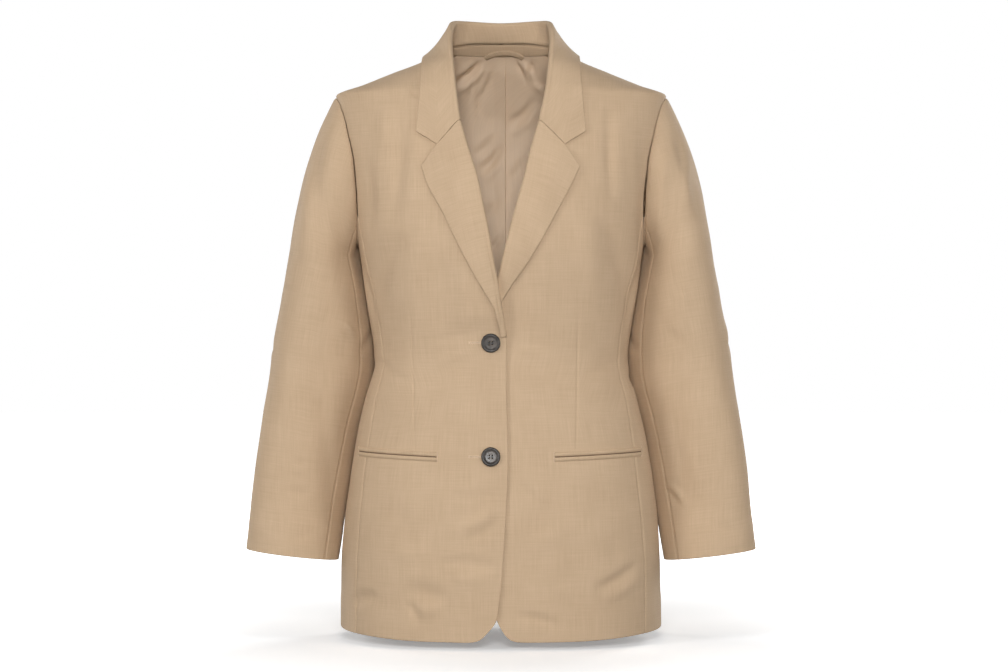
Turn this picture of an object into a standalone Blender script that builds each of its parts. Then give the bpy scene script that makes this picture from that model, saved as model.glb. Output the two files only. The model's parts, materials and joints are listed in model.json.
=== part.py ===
"""A single-breasted blazer with two buttons, worn by nobody: hollow cloth walls in the shape it is worn in.

Every panel is a grid of points on one body form, a stack of rounded sections from hem to neck. The form says
where the cloth is, and each panel says which part of it the piece covers and how far out it lies. Sizes are in
millimetres until a mesh is made. +Z is up, the front faces -Y, and the origin is level with the neck ends of
the shoulder seams. "Out" is the distance out from the body form. A piece and its mirror image are made in their
own frame, where x grows from the centre line towards the piece's own side; side is +1 for the wearer's left.
"""

import math

import bmesh
import bpy
import numpy as np
from mathutils import Matrix, Vector

MM = 0.001

# Cloth walls
CLOTH = 1.6
TURNED_CLOTH = 2.2
THIN_CLOTH = 1.2
SEAM_GAP = 0.3

# The body form, from the hem up. Front and back are the reaches from the origin, middle is the y of the widest
# line, and fullness is the power of the rounded section (2 is an ellipse).
FORM_COLUMNS = ("height", "half_width", "front", "back", "middle", "fullness")
FORM = (
    (-718, 198.0, 126, 133, 8.0, 2.50),
    (-640, 197.0, 123, 131, 7.0, 2.50),
    (-576, 193.0, 119, 128, 5.0, 2.45),
    (-527, 187.0, 114, 122, 3.0, 2.40),
    (-480, 179.0, 109, 115, 1.0, 2.40),
    (-429, 168.0, 104, 104, 0.0, 2.40),
    (-380, 156.0, 101, 97, 0.0, 2.35),
    (-305, 166.0, 110, 101, 0.0, 2.30),
    (-238, 176.0, 119, 107, 0.0, 2.30),
    (-190, 184.0, 117, 111, 1.0, 2.25),
    (-160, 190.5, 113, 112, 2.0, 2.20),
    (-133, 196.0, 107, 112, 3.0, 2.15),
    (-96, 204.0, 97, 109, 5.0, 2.05),
    (-70, 205.0, 88, 104, 6.0, 2.00),
    (-53, 205.0, 80, 98, 6.0, 1.95),
    (-40, 172.0, 75, 93, 8.0, 1.95),
    (-25, 135.0, 70, 87, 10.0, 1.95),
    (-9, 97.0, 64, 80, 12.0, 1.95),
    (0, 84.0, 60, 75, 12.0, 2.00),
    (12, 71.0, 54, 68, 12.0, 2.00),
    (22, 64.0, 50, 64, 12.0, 2.00),
    (34, 60.0, 46, 60, 12.0, 2.00),
)
NECK_HEIGHT = 12
SHOULDER_HEIGHT = -53
CENTRE_BACK_NECK = 20

# Seams of the side panel: angle round the form from the centre front, at each height, and where each meets the hem
SIDE_SEAM_COLUMNS = ("height", "front_seam", "back_seam")
SIDE_SEAMS = ((-718, 56, 128), (-500, 58, 125), (-380, 62, 122))
HEM_SEAM_ANGLES = {"front_seam": 56, "back_seam": 128}
HEM_COLUMNS = ("angle", "height")
HEM = ((0, -715), (25, -714.5), (56, -710), (90, -706.5), (128, -705), (180, -704))

# The armhole is an egg seen from the side. A turn of 0 is its top, 90 its front, 180 the underarm.
ARMHOLE_MIDDLE = -146
ARMHOLE_RISE = 92
ARMHOLE_FORWARD = 48
ARMHOLE_BACKWARD = 58
FRONT_TURNS = (0, 8, 16, 32, 48, 64, 80, 95, 110, 125)
UNDERARM_TURNS = (125, 137, 155, 180, 205, 223, 235)
BACK_TURNS = (360, 352, 344, 328, 312, 296, 280, 265, 250, 235)
UNDERARM_CLEAR = 1.0
SLEEVE_SEAM_FRONT = 137
SLEEVE_SEAM_BACK = 250

# Each front's own edge. right is the buttonhole side, which laps over left.
EDGE_COLUMNS = ("height", "right", "left")
FRONT_EDGE = (
    (-705, 18.0, 4.2),
    (-699, 12.0, 0.2),
    (-692, 6.8, -3.6),
    (-685, 4.2, -6.5),
    (-653, 0.2, -14.0),
    (-614, -3.0, -22.5),
    (-550, -7.0, -29.0),
    (-495, -8.6, -31.0),
    (-400, -6.5, -31.0),
    (-353, -6.8, -31.0),
    (-347, -1.3, -25.0),
    (-330, 2.0, -17.5),
    (-307, 6.2, -8.0),
    (-282, 10.0, 0.8),
    (-260, 14.2, 7.0),
    (-234, 18.4, 13.0),
    (-198, 25.3, 22.5),
    (-159, 33.7, 33.3),
    (-127, 43.6, 41.0),
    (-95, 53.5, 51.0),
    (-80, 62.0, 62.0),
    (-55, 70.0, 70.0),
    (-28, 74.0, 74.0),
    (-4, 75.0, 75.0),
    (12, 71.0, 71.0),
)

# Where the rows of the fronts and backs meet the front edge and the centre back
FRONT_EDGE_ROWS = (-705, -692, -620, -530, -440, -353, -347, -325, -300, -250, -205,
                   -160, -118, -80, -50, -26, -9, 1, 8, 12)
CENTRE_BACK_ROWS = (-200, -160, -118, -76, -34, 20)
BACK_NECK_ANGLES = (157, 135, 112, 90)
LOWER_ROWS = 10
HEM_CORNER_COLUMNS = ("from_edge", "above_hem")
HEM_CORNER = ((0, 10), (5, 4.6), (10, 1.8), (17, 0.4), (28, 0), (250, 0))

# Where the lapel folds, and its outer edge, in the front's own frame. It meets the collar at the gorge.
GORGE_HEIGHT = -91
ROLL_COLUMNS = ("height", "right", "left")
ROLL_LINE = (
    (-352, -6.5, -31.0),
    (-330, -3.0, -22.5),
    (-307, 1.2, -13.0),
    (-282, 4.8, -4.2),
    (-260, 9.2, 2.0),
    (-234, 13.4, 8.0),
    (-198, 20.3, 17.5),
    (-159, 28.7, 28.3),
    (-127, 38.6, 35.8),
    (GORGE_HEIGHT, 49.0, 46.0),
)
LAPEL_EDGE_COLUMNS = ("height", "right", "left")
LAPEL_EDGE = (
    (-356, -5.5, -29.0),
    (-336, 0.7, -16.0),
    (-318, 7.2, -4.0),
    (-295, 20.3, 9.5),
    (-266, 37.0, 29.5),
    (-235, 53.7, 48.5),
    (-200, 70.6, 67.5),
    (-169, 87.5, 84.0),
    (-147, 95.0, 94.0),
)
NOTCH = (76.0, -120.5)
LAPEL_BOTTOM = -348.5
LAPEL_EDGE_BOTTOM = -351.0
GORGE_FOOT = (68.0, -98.0)

# The collar, from its front end round to the centre back: fold, free edge and foot at each station
COLLAR_COLUMNS = ("fold_x", "fold_y", "fold_z", "edge_x", "edge_y", "edge_z", "foot_x", "foot_y", "foot_z")
COLLAR = (
    (48.0, -90, -91, 102.0, -88, -104, 68.0, -86, -98),
    (52.0, -84, -68, 99.0, -77, -62, 74.0, -72, -62),
    (56.0, -72, -40, 96.5, -53, -29, 76.0, -54, -32),
    (59.0, -56, -14, 96.5, -25, -12, 75.0, -31, -6),
    (62.0, -28, 16, 97.0, 10, -3, 74.5, -4, 6),
    (61.0, 2, 35, 94.0, 38, -8, 69.0, 20, 13.5),
    (57.5, 28, 43, 80.0, 66, -13, 57.0, 40, 17),
    (42.0, 50, 45.5, 50.0, 83, -12, 36.0, 55, 20.5),
    (0.0, 60, 44.5, 0.0, 86, -8, 0.0, 62, 21),
)
FOLD_RADIUS = 3.15
LAPEL_STATIONS = 11
COLLAR_STATIONS = 11

# How far out the fronts lie where they lap, and how far their turned edges stand off them
LAP_STEP = 1.8
LAP_FROM, LAP_TO = 40, 71
UNDER_LAP_FROM, UNDER_LAP_TO = 12, 56
BREAK_STEP_OVER = 4.6
BREAK_STEP_UNDER = -2.0
BREAK_FOOT_OVER = (-350, -322)
BREAK_FOOT_UNDER = (-390, -352)
BREAK_TOP = (-300, -235)
LEG_OUT = 3.2
LAPEL_SPRING = 0.8
COLLAR_SPRING = 1.2
COLLAR_LIFT = 1.4
LEG_IN = -3.1
NECK_LEG_IN = -4.2

# Sleeve sections down from the underarm: centre, half width and half depth, and how far back its innermost
# line lies, where it hangs beside the body
SLEEVE_COLUMNS = ("height", "centre_x", "centre_y", "half_width", "half_depth", "inner_back")
SLEEVE = (
    (-248, 219.0, 2, 42.9, 65, 20),
    (-310, 216.9, 3, 54.9, 60, 26),
    (-385, 221.0, 4, 63.8, 52, 30),
    (-460, 235.7, 0, 60.2, 47, 30),
    (-540, 248.1, -6, 57.8, 42, 26),
    (-619.5, 257.8, -12, 56.0, 38, 6),
)
SLEEVE_TILT = math.radians(7)
SLEEVE_SEAM_ROOM = 0.15
CAP_STEPS = (0.0, 0.25, 0.5, 0.75)
SLEEVE_RINGS = (-248, -282, -320, -360, -400, -445, -500, -560, -619.5)

# Trim
POCKET_COLUMNS = ("inner_x", "inner_height", "outer_x", "outer_height")
POCKETS = {"right": (76.5, -495, 172, -491), "left": (64.0, -495, 170, -491)}
WELT_WIDTH = 5.5
WELT_SLIT = 1.0
WELT_OUT = 2.3
BUTTON_X = -12
BUTTON_HEIGHTS = {"button_top": -358, "button_bottom": -494.6}
BUTTON_HOLE_RADIUS = 1.1
BUTTON_HOLE_SPACING = 3.6
BUTTON_OUT = 1.6
# A button's section, from the middle of its face to the middle of its back: radius and height
BUTTON_PROFILE = ((0, 2.3), (7.2, 2.3), (8.2, 3.0), (9.4, 3.5), (10.7, 3.1), (11.5, 1.9), (10.6, 0.4), (0, 0))
FACING_BOTTOM = 6
FACING_REACH = 62
FACING_OUT = -3.9
LINING_OUT = (-3.9, -6.0)
LINING_COLUMNS = ("height", "half_width")
LINING = (
    (5.6, 58), (-20, 90), (-45, 132), (-85, 154), (-140, 150), (-210, 144), (-300, 132), (-390, 124),
    (-480, 142), (-580, 156), (-684, 162),
)
LINING_ROWS = (-160, -130, -100, -70, -45, -20)
LINING_HEM = -684
PLEAT_X = 5
PLEAT_DEPTH = 3
PLEAT_WIDTH = 14
PLEAT_RISE = 1.5
LOOP_ENDS = (-21, 29)
LOOP_RISE = 7.5
LOOP_WIDTH = 5.5
LOOP_OUT = -6.0

COLOURS = {
    "cloth": (0.56, 0.42, 0.28), "lining": (0.47, 0.34, 0.23), "button": (0.07, 0.065, 0.06),
}


def smooth_table(rows, columns, name):
    """A monotone cubic through one column of a table, as a function of the table's first column."""
    table = np.array(sorted(rows), float)
    xs = table[:, 0]
    ys = table[:, columns.index(name)]
    steps = np.diff(xs)
    slopes = np.diff(ys) / steps
    same_way = slopes[:-1] * slopes[1:] > 0
    first = 2 * steps[1:] + steps[:-1]
    second = steps[1:] + 2 * steps[:-1]
    safe = [np.where(same_way, part, 1.0) for part in (slopes[:-1], slopes[1:])]
    inner = np.where(same_way, (first + second) / (first / safe[0] + second / safe[1]), 0.0)
    rates = np.concatenate([slopes[:1], inner, slopes[-1:]])

    def value(x):
        x = np.clip(np.asarray(x, float), xs[0], xs[-1])
        at = np.clip(np.searchsorted(xs, x) - 1, 0, len(xs) - 2)
        t = (x - xs[at]) / steps[at]
        low = ys[at] * (1 + 2 * t) * (1 - t) ** 2 + rates[at] * steps[at] * t * (1 - t) ** 2
        high = ys[at + 1] * t**2 * (3 - 2 * t) + rates[at + 1] * steps[at] * t**2 * (t - 1)
        return low + high

    return value


FORM_AT = {name: smooth_table(FORM, FORM_COLUMNS, name) for name in FORM_COLUMNS[1:]}
HEM_AT = smooth_table(HEM, HEM_COLUMNS, "height")
CORNER_AT = smooth_table(HEM_CORNER, HEM_CORNER_COLUMNS, "above_hem")
EDGE_AT = {hand: smooth_table(FRONT_EDGE, EDGE_COLUMNS, hand) for hand in ("right", "left")}
ROLL_AT = {hand: smooth_table(ROLL_LINE, ROLL_COLUMNS, hand) for hand in ("right", "left")}
LAPEL_EDGE_AT = {hand: smooth_table(LAPEL_EDGE, LAPEL_EDGE_COLUMNS, hand) for hand in ("right", "left")}
SLEEVE_AT = {name: smooth_table(SLEEVE, SLEEVE_COLUMNS, name) for name in SLEEVE_COLUMNS[1:]}
LINING_AT = smooth_table(LINING, LINING_COLUMNS, "half_width")


def ease(value, start, end):
    """0 at start, 1 at end, with a smooth step between."""
    t = np.clip((np.asarray(value, float) - start) / (end - start), 0, 1)
    return t * t * (3 - 2 * t)


def unit(vectors):
    return vectors / np.maximum(np.linalg.norm(vectors, axis=-1, keepdims=True), 1e-9)


# The body form ------------------------------------------------------------------------------------------------


def spread(points):
    """How far out each point is, as a fraction of the form's section at its height: 1 is on the form."""
    x, y, z = np.moveaxis(points, -1, 0)
    middle = FORM_AT["middle"](z)
    depth = np.where(y < middle, FORM_AT["front"](z) + middle, FORM_AT["back"](z) - middle)
    power = FORM_AT["fullness"](z)
    across = np.abs(x) / FORM_AT["half_width"](z)
    along = np.abs(y - middle) / depth
    return (across**power + along**power) ** (1 / power)


def spread_rate(points, step=0.5):
    """The gradient of spread, by central differences."""
    moves = np.eye(3) * step
    return np.stack([(spread(points + move) - spread(points - move)) / (2 * step) for move in moves], axis=-1)


def outward(points):
    return unit(spread_rate(points))


def distance_out(points):
    rate = np.maximum(np.linalg.norm(spread_rate(points), axis=-1), 1e-6)
    return (spread(points) - 1) / rate


def moved_out(points, distance):
    return points + outward(points) * np.asarray(distance, float)[..., None]


def set_distance(points, distance, hold=1.0):
    """The points moved along the form's normals to this distance from it. Where hold is 0 they only move out."""
    for _ in range(6):
        missing = distance - distance_out(points)
        points = moved_out(points, np.where(missing > 0, missing, missing * hold))
        hold = hold if np.ndim(hold) == 0 else np.where(hold > 0.999, hold, 0.0)
    return points


def on_form(angle, height, out=0.0):
    """A point at this angle round the form, in degrees from the centre front, and this height."""
    angle, height = np.broadcast_arrays(np.radians(angle), np.asarray(height, float))
    power = FORM_AT["fullness"](height)
    across, along = np.sin(angle), np.cos(angle)
    reach = (np.abs(across) ** power + np.abs(along) ** power) ** (-1 / power)
    middle = FORM_AT["middle"](height)
    depth = np.where(along > 0, FORM_AT["front"](height) + middle, FORM_AT["back"](height) - middle)
    x = FORM_AT["half_width"](height) * reach * across
    points = np.stack([x, middle - depth * reach * along, height], -1)
    return moved_out(points, out + np.zeros(height.shape))


def on_face(x, height, out=0.0, face="front"):
    """A point on the front or back of the form, straight in or out of (x, height) as seen from the front."""
    x, height = np.broadcast_arrays(np.asarray(x, float), np.asarray(height, float))
    power = FORM_AT["fullness"](height)
    middle = FORM_AT["middle"](height)
    across = np.clip(np.abs(x) / FORM_AT["half_width"](height), 0, 1)
    depth = (1 - across**power) ** (1 / power)
    reach = FORM_AT["front"](height) + middle if face == "front" else middle - FORM_AT["back"](height)
    points = np.stack([x, middle - depth * reach, height], -1)
    return moved_out(points, out + np.zeros(height.shape))


def armhole(turn):
    """The armhole seam on the form."""
    turn = np.radians(np.asarray(turn, float))
    height = ARMHOLE_MIDDLE + ARMHOLE_RISE * np.cos(turn)
    forward = np.sin(turn) * np.where(np.sin(turn) > 0, ARMHOLE_FORWARD, ARMHOLE_BACKWARD)
    middle = FORM_AT["middle"](height)
    depth = np.where(forward > 0, FORM_AT["front"](height) + middle, FORM_AT["back"](height) - middle)
    power = FORM_AT["fullness"](height)
    x = FORM_AT["half_width"](height) * (1 - (np.abs(forward) / depth) ** power) ** (1 / power)
    return np.stack([x, middle - forward, height], -1)


def angle_of(points):
    """The angle round the form of points that lie on it."""
    x, y, z = np.moveaxis(points, -1, 0)
    middle = FORM_AT["middle"](z)
    depth = np.where(y < middle, FORM_AT["front"](z) + middle, FORM_AT["back"](z) - middle)
    return np.degrees(np.arctan2(x / FORM_AT["half_width"](z), (middle - y) / depth))


def side_seam(name, heights):
    """The angle of a side seam, which meets the armhole at its own end of the underarm."""
    top = armhole(UNDERARM_TURNS[0] if name == "front_seam" else UNDERARM_TURNS[-1])
    ends = (float(top[2]), float(angle_of(top)), float(angle_of(top)))
    return smooth_table(SIDE_SEAMS + (ends,), SIDE_SEAM_COLUMNS, name)(heights)


# Grids of points ----------------------------------------------------------------------------------------------


def stretched(bottom, top, inner, outer, across, fade):
    """A grid laid on the form between four edges. What the bottom and top have beside a straight line fades away."""
    across = np.asarray(across, float)[None, :, None]
    up = np.linspace(0, 1, len(inner))[:, None, None]
    rows = (1 - across) * inner[:, None] + across * outer[:, None]
    low = bottom[None] - (1 - across) * bottom[0] - across * bottom[-1]
    high = top[None] - (1 - across) * top[0] - across * top[-1]
    points = set_distance(rows + low * (1 - up) ** fade + high * up**fade, 0.0)
    points[0], points[-1], points[:, 0], points[:, -1] = bottom, top, inner, outer
    return points


def trimmed(grid, gap=SEAM_GAP / 2 + 0.02):
    """The grid with each edge drawn in by half of a seam's gap."""
    grid = grid.copy()
    for turns in range(4):
        edge = np.rot90(grid, turns)
        inward = unit(edge[1] - edge[0])
        along = unit(np.gradient(edge[0], axis=0))
        lean = np.linalg.norm(np.cross(inward, along), axis=-1, keepdims=True)
        edge[0] += inward * gap / np.maximum(lean, 0.4)
    return grid


def below_armhole():
    """Row heights shared by the fronts, sides and backs, as fractions from the hem to the underarm seam ends."""
    return np.linspace(0, 1, LOWER_ROWS + 1)


def seam_heights(name):
    angle = HEM_SEAM_ANGLES[name]
    turn = UNDERARM_TURNS[0] if name == "front_seam" else UNDERARM_TURNS[-1]
    return HEM_AT(angle) + below_armhole() * (float(armhole(turn)[2]) - HEM_AT(angle))


def seam_points(name):
    heights = seam_heights(name)
    return on_form(side_seam(name, heights), heights)


def front_out(hand, x, height):
    """How far out a front lies: the right one over the left one where they lap, and both apart at the break."""
    above = 1 - ease(height, *BREAK_TOP)
    if hand == "right":
        step = LAP_STEP + BREAK_STEP_OVER * ease(height, *BREAK_FOOT_OVER) * above
        return step * (1 - ease(x, LAP_FROM, LAP_TO))
    step = BREAK_STEP_UNDER * ease(height, *BREAK_FOOT_UNDER) * above - LAP_STEP
    return step * (1 - ease(x, UNDER_LAP_FROM, UNDER_LAP_TO))


def shoulder_seam(across):
    return on_form(90, NECK_HEIGHT + across * (SHOULDER_HEIGHT - NECK_HEIGHT))


def front_grid(hand):
    """From the front edge, roll line and neckline, out to the side seam and the armhole."""
    across = np.array((0, 0.05, 0.13, 0.25, 0.39, 0.54, 0.70, 0.86, 1))
    heights = np.array(FRONT_EDGE_ROWS, float)
    inner = on_face(EDGE_AT[hand](heights), heights)
    outer = np.concatenate([seam_points("front_seam"), armhole(FRONT_TURNS[::-1])[1:]])
    bottom_angle = angle_of(inner[0]) + across * (angle_of(outer[0]) - angle_of(inner[0]))
    hem = HEM_AT(bottom_angle)
    bottom = on_form(bottom_angle, hem)
    bottom[:, 2] += CORNER_AT(bottom[:, 0] - inner[0, 0])
    bottom[-1], inner[0] = outer[0], bottom[0]
    top = shoulder_seam(across)
    inner[-1] = top[0]
    points = stretched(bottom, top, inner, outer, across, 5)
    return moved_out(points, front_out(hand, points[..., 0], points[..., 2]))


def back_neckline(angle):
    return on_form(angle, CENTRE_BACK_NECK + (NECK_HEIGHT - CENTRE_BACK_NECK) * ((180 - angle) / 90) ** 2)


def centre_back_heights():
    """Heights of the rows below the armhole at the centre back."""
    return HEM_AT(180) + below_armhole() * (CENTRE_BACK_ROWS[0] - HEM_AT(180))


def back_grid():
    """From the centre back and the neckline, out to the side seam and the armhole; the shoulder seam is on top."""
    across = np.linspace(0, 1, 9)
    outer = np.concatenate([seam_points("back_seam"), armhole(BACK_TURNS[::-1])[1:]])
    heights = np.concatenate([centre_back_heights(), CENTRE_BACK_ROWS[1:]])
    inner = np.concatenate([on_face(0, heights, face="back"), back_neckline(np.array(BACK_NECK_ANGLES, float))])
    bottom_angle = 180 - across * (180 - angle_of(outer[0]))
    bottom = on_form(bottom_angle, HEM_AT(bottom_angle))
    return stretched(bottom, shoulder_seam(across), inner, outer, across, 5)


def side_grid():
    """From the front's side seam round to the back's, with the lower end of the armhole on top."""
    inner, outer, top = seam_points("front_seam"), seam_points("back_seam"), armhole(UNDERARM_TURNS)
    across = (angle_of(top) - angle_of(top[0])) / (angle_of(top[-1]) - angle_of(top[0]))
    bottom_angle = angle_of(inner[0]) + across * (angle_of(outer[0]) - angle_of(inner[0]))
    return stretched(on_form(bottom_angle, HEM_AT(bottom_angle)), top, inner, outer, across, 3)


# Sleeves ------------------------------------------------------------------------------------------------------


def cap_direction(turn):
    """The way the sleeve leaves the armhole."""
    s, c = np.sin(np.radians(turn)), np.cos(np.radians(turn))
    low = (1 - c) / 2
    return unit(np.stack([0.50 + 0.32 * s**2 - 0.22 * low, -0.35 * s, -0.87 + 0.35 * s**2 - 0.1 * low], -1))


def cap_start(turn):
    """The armhole seam, moved out along the sleeve until the two walls clear each other."""
    turn = np.asarray(turn, float)
    seam = armhole(turn)
    way = cap_direction(turn)
    along = unit(armhole(turn + 1) - armhole(turn - 1))
    into_panel = unit(np.cross(outward(seam), along))
    from_middle = seam - armhole(np.array((0.0, 180.0))).mean(axis=0)
    into_panel *= np.sign((into_panel * from_middle).sum(-1, keepdims=True))
    lean = (way * into_panel).sum(-1, keepdims=True)
    square = unit(way - into_panel * lean)
    bend = np.arccos(np.clip(-lean, -1, 1))
    sharp = seam + square * (UNDERARM_CLEAR * lean + SEAM_GAP * (1 - lean) + CLOTH / 2 * (1 + lean))
    wide = seam + way * (SEAM_GAP + CLOTH / 2 * np.tan(np.minimum(bend, math.pi / 2) / 2))
    return np.where(lean > 0, sharp, wide)


def sleeve_ring(turn, height):
    turn = np.radians(turn)
    tilted = np.array((math.cos(SLEEVE_TILT), 0, math.sin(SLEEVE_TILT)))
    centre = np.array((SLEEVE_AT["centre_x"](height), SLEEVE_AT["centre_y"](height), height))
    sideways = SLEEVE_AT["half_width"](height) * np.cos(turn)[:, None] * tilted
    back = SLEEVE_AT["inner_back"](height) * (1 - np.cos(turn)) / 2 - SLEEVE_AT["half_depth"](height) * np.sin(turn)
    return centre + sideways + back[:, None] * np.array((0, 1, 0))


def sleeve_grid(turns):
    """Rings from the armhole down: the cap, and then the sections."""
    turns = np.asarray(turns, float)
    start, end = cap_start(turns), sleeve_ring(turns, SLEEVE_RINGS[0])
    reach = np.linalg.norm(end - start, axis=-1, keepdims=True)
    leaving = cap_direction(turns) * reach * 0.8
    arriving = np.array((math.sin(SLEEVE_TILT), 0, -math.cos(SLEEVE_TILT))) * reach
    rings = []
    for t in CAP_STEPS:
        rings.append(
            start * (1 + 2 * t) * (1 - t) ** 2 + leaving * t * (1 - t) ** 2
            + end * t**2 * (3 - 2 * t) + arriving * t**2 * (t - 1)
        )
    rings += [sleeve_ring(turns, height) for height in SLEEVE_RINGS]
    return trimmed(np.stack(rings), SLEEVE_SEAM_ROOM)


# Collar and lapels --------------------------------------------------------------------------------------------


def turned_rows(fold, edge, foot, notch_share, notch, lie, across, hold):
    """Rows of turned cloth from its foot, over the fold, to its free edge. At the gorge it bends at the notch."""
    heading = fold + (edge - fold) * 0.5
    heading = heading + notch_share[:, None] * (notch - heading)
    down = unit(unit(heading - fold) + unit(foot - fold))
    out = outward(fold)
    out = unit(out - down * (out * down).sum(-1, keepdims=True))
    centre = fold + down * FOLD_RADIUS
    arc = [
        centre + FOLD_RADIUS * (out * math.sin(math.radians(a)) - down * math.cos(math.radians(a)))
        for a in (-90, -30, 30, 90)
    ]
    rows = [foot, (foot + arc[0]) / 2] + arc
    for t in across:
        straight = arc[-1] + (edge - arc[-1]) * t
        bend = min(2 * t, 2 - 2 * t)
        middle = arc[-1] + (edge - arc[-1]) * 0.5
        leg = straight + (bend * notch_share)[:, None] * (notch - middle)
        rows.append(set_distance(leg, lie(leg, t), hold))
    return np.stack(rows)


def gorge_section(hand):
    """Fold, notch and foot where collar and lapel are joined."""
    x = float(ROLL_AT[hand](GORGE_HEIGHT))
    fold = on_face(x, GORGE_HEIGHT, front_out(hand, x, GORGE_HEIGHT) + LEG_OUT - FOLD_RADIUS)
    notch = on_face(NOTCH[0], NOTCH[1], LEG_OUT)
    foot = on_face(GORGE_FOOT[0], GORGE_FOOT[1], LEG_IN)
    return fold, notch, foot


def lapel_grid(hand):
    along = np.linspace(0, 1, LAPEL_STATIONS)
    fold_height = LAPEL_BOTTOM + along * (GORGE_HEIGHT - LAPEL_BOTTOM)
    fold_x = ROLL_AT[hand](fold_height)
    edge_height = LAPEL_EDGE_BOTTOM + along * (LAPEL_EDGE[-1][0] - LAPEL_EDGE_BOTTOM)
    edge_x = np.maximum(LAPEL_EDGE_AT[hand](edge_height), fold_x + FOLD_RADIUS + 3)
    foot_x = fold_x + 8 + (GORGE_FOOT[0] - fold_x[-1] - 8) * along**2
    foot_height = fold_height + (GORGE_FOOT[1] - GORGE_HEIGHT) * along**4
    fold = on_face(fold_x, fold_height, front_out(hand, fold_x, fold_height) + LEG_OUT - FOLD_RADIUS)
    foot = on_face(foot_x, foot_height, front_out(hand, foot_x, foot_height) + LEG_IN)
    edge = on_face(edge_x, edge_height, LEG_OUT)
    _, notch, foot[-1] = gorge_section(hand)

    def lie(points, t):
        spring = LAPEL_SPRING * np.sin(np.pi * t) * np.sin(np.pi * along)
        return front_out(hand, points[:, 0], points[:, 2]) + LEG_OUT + spring

    return turned_rows(fold, edge, foot, along**6, notch, lie, (0.25, 0.5, 0.75, 1.0), 1.0)


def collar_half(hand):
    """One half of the collar, from its front end to the centre back, as rows from foot to free edge."""
    fold, edge, foot = (along_curve(collar_line(name), COLLAR_STATIONS) for name in ("fold", "edge", "foot"))
    share = np.linspace(0, 1, COLLAR_STATIONS)
    on_chest = 1 - ease(share, 0.25, 0.5)
    at_front = 1 - ease(share, 0, 0.25)
    gorge_fold, notch, gorge_foot = gorge_section(hand)
    fold = fold + (gorge_fold - fold[0]) * at_front[:, None]
    foot = level_with_form(foot, LEG_IN + (NECK_LEG_IN - LEG_IN) * ease(share, 0.05, 0.3))
    foot[0] = gorge_foot

    def lie(points, t):
        lapped = front_out(hand, points[:, 0], points[:, 2]) * at_front
        return lapped + LEG_OUT + (COLLAR_SPRING * np.sin(np.pi * t) + COLLAR_LIFT * t) * (1 - at_front)

    at_notch = 1 - ease(share, 0, 0.16)
    return turned_rows(fold, edge, foot, at_notch, notch, lie, (0.25, 0.5, 0.67, 0.84, 1.0), on_chest)


def collar_line(name):
    """The fold, edge or foot of the collar, as points at its table's stations."""
    table = np.array(COLLAR, float)
    return table[:, [COLLAR_COLUMNS.index(f"{name}_{axis}") for axis in "xyz"]]


def along_curve(points, count):
    """Points at even steps along a smooth curve through a table's rows, level where it crosses the centre."""
    mirrored = points[-2::-1] * np.array((-1, 1, 1))
    whole = np.concatenate([points, mirrored])
    stations = np.arange(len(whole), dtype=float)
    wanted = np.linspace(0, len(points) - 1, count)
    columns = []
    for axis in range(3):
        rates = np.gradient(whole[:, axis], stations)
        at = np.clip(wanted.astype(int), 0, len(whole) - 2)
        t = wanted - at
        low = whole[at, axis] * (1 + 2 * t) * (1 - t) ** 2 + rates[at] * t * (1 - t) ** 2
        high = whole[at + 1, axis] * t**2 * (3 - 2 * t) + rates[at + 1] * t**2 * (t - 1)
        columns.append(low + high)
    return np.stack(columns, -1)


def level_with_form(points, out):
    """The points moved level, towards or from the form's middle, onto the form, and then out."""
    middle = np.zeros(points.shape)
    middle[:, 1] = FORM_AT["middle"](points[:, 2])
    middle[:, 2] = points[:, 2]
    return moved_out(middle + (points - middle) / spread(points)[:, None], out + np.zeros(len(points)))


def collar_grid():
    right, left = collar_half("right"), collar_half("left")
    right = right * np.array((-1, 1, 1))
    return np.concatenate([right, left[:, -2::-1]], axis=1)


# Trim ---------------------------------------------------------------------------------------------------------


def welt_grid(hand, part):
    pocket = dict(zip(POCKET_COLUMNS, POCKETS[hand]))
    along = 1 - (1 - np.linspace(0, 1, 9)) ** 1.5
    low, high = (WELT_SLIT / 2, WELT_SLIT / 2 + WELT_WIDTH)
    x = pocket["inner_x"] + along * (pocket["outer_x"] - pocket["inner_x"])
    middle = pocket["inner_height"] + along * (pocket["outer_height"] - pocket["inner_height"])
    offsets = (low, high) if part == "upper" else (-high, -low)
    return np.stack([on_face(x, middle + offset, WELT_OUT) for offset in offsets])


def facing_grid():
    """The band inside the back of the neck, from side to side below the collar."""
    x = np.linspace(-FACING_REACH, FACING_REACH, 11)
    top = CENTRE_BACK_NECK - 0.6 - 6.5 * (x / FACING_REACH) ** 2
    return np.stack([on_face(x, FACING_BOTTOM + (top - FACING_BOTTOM) * share, FACING_OUT, "back")
                     for share in (0, 0.5, 1)])


def lining_grid():
    """The back lining, with a pleat down its middle whose edge faces the wearer's left."""
    heights = np.concatenate([centre_back_heights(), LINING_ROWS, (FACING_BOTTOM - 0.4,)])
    heights[0] = LINING_HEM
    half = LINING_AT(heights)[:, None]
    right, left = np.linspace(0, 1, 6)[:-1], np.linspace(0, 1, 6)
    fold_back, fold_end = PLEAT_X - PLEAT_WIDTH, PLEAT_X + PLEAT_RISE
    to_fold = -half + (fold_back + half) * right
    from_fold = fold_end + (half - fold_end) * left
    x = np.concatenate([to_fold, fold_back + 0 * half, PLEAT_X + 0 * half, from_fold], axis=1)
    lift = np.zeros(x.shape)
    lift[:, len(right) + 1] = PLEAT_DEPTH
    fade = ease(-heights, 0, 30) * (1 - 0.6 * ease(-heights, 120, 400))
    out = LINING_OUT[0] + (LINING_OUT[1] - LINING_OUT[0]) * ease(-heights, -5, 18)
    return on_face(x, heights[:, None], out[:, None] - lift * fade[:, None], "back")


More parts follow.
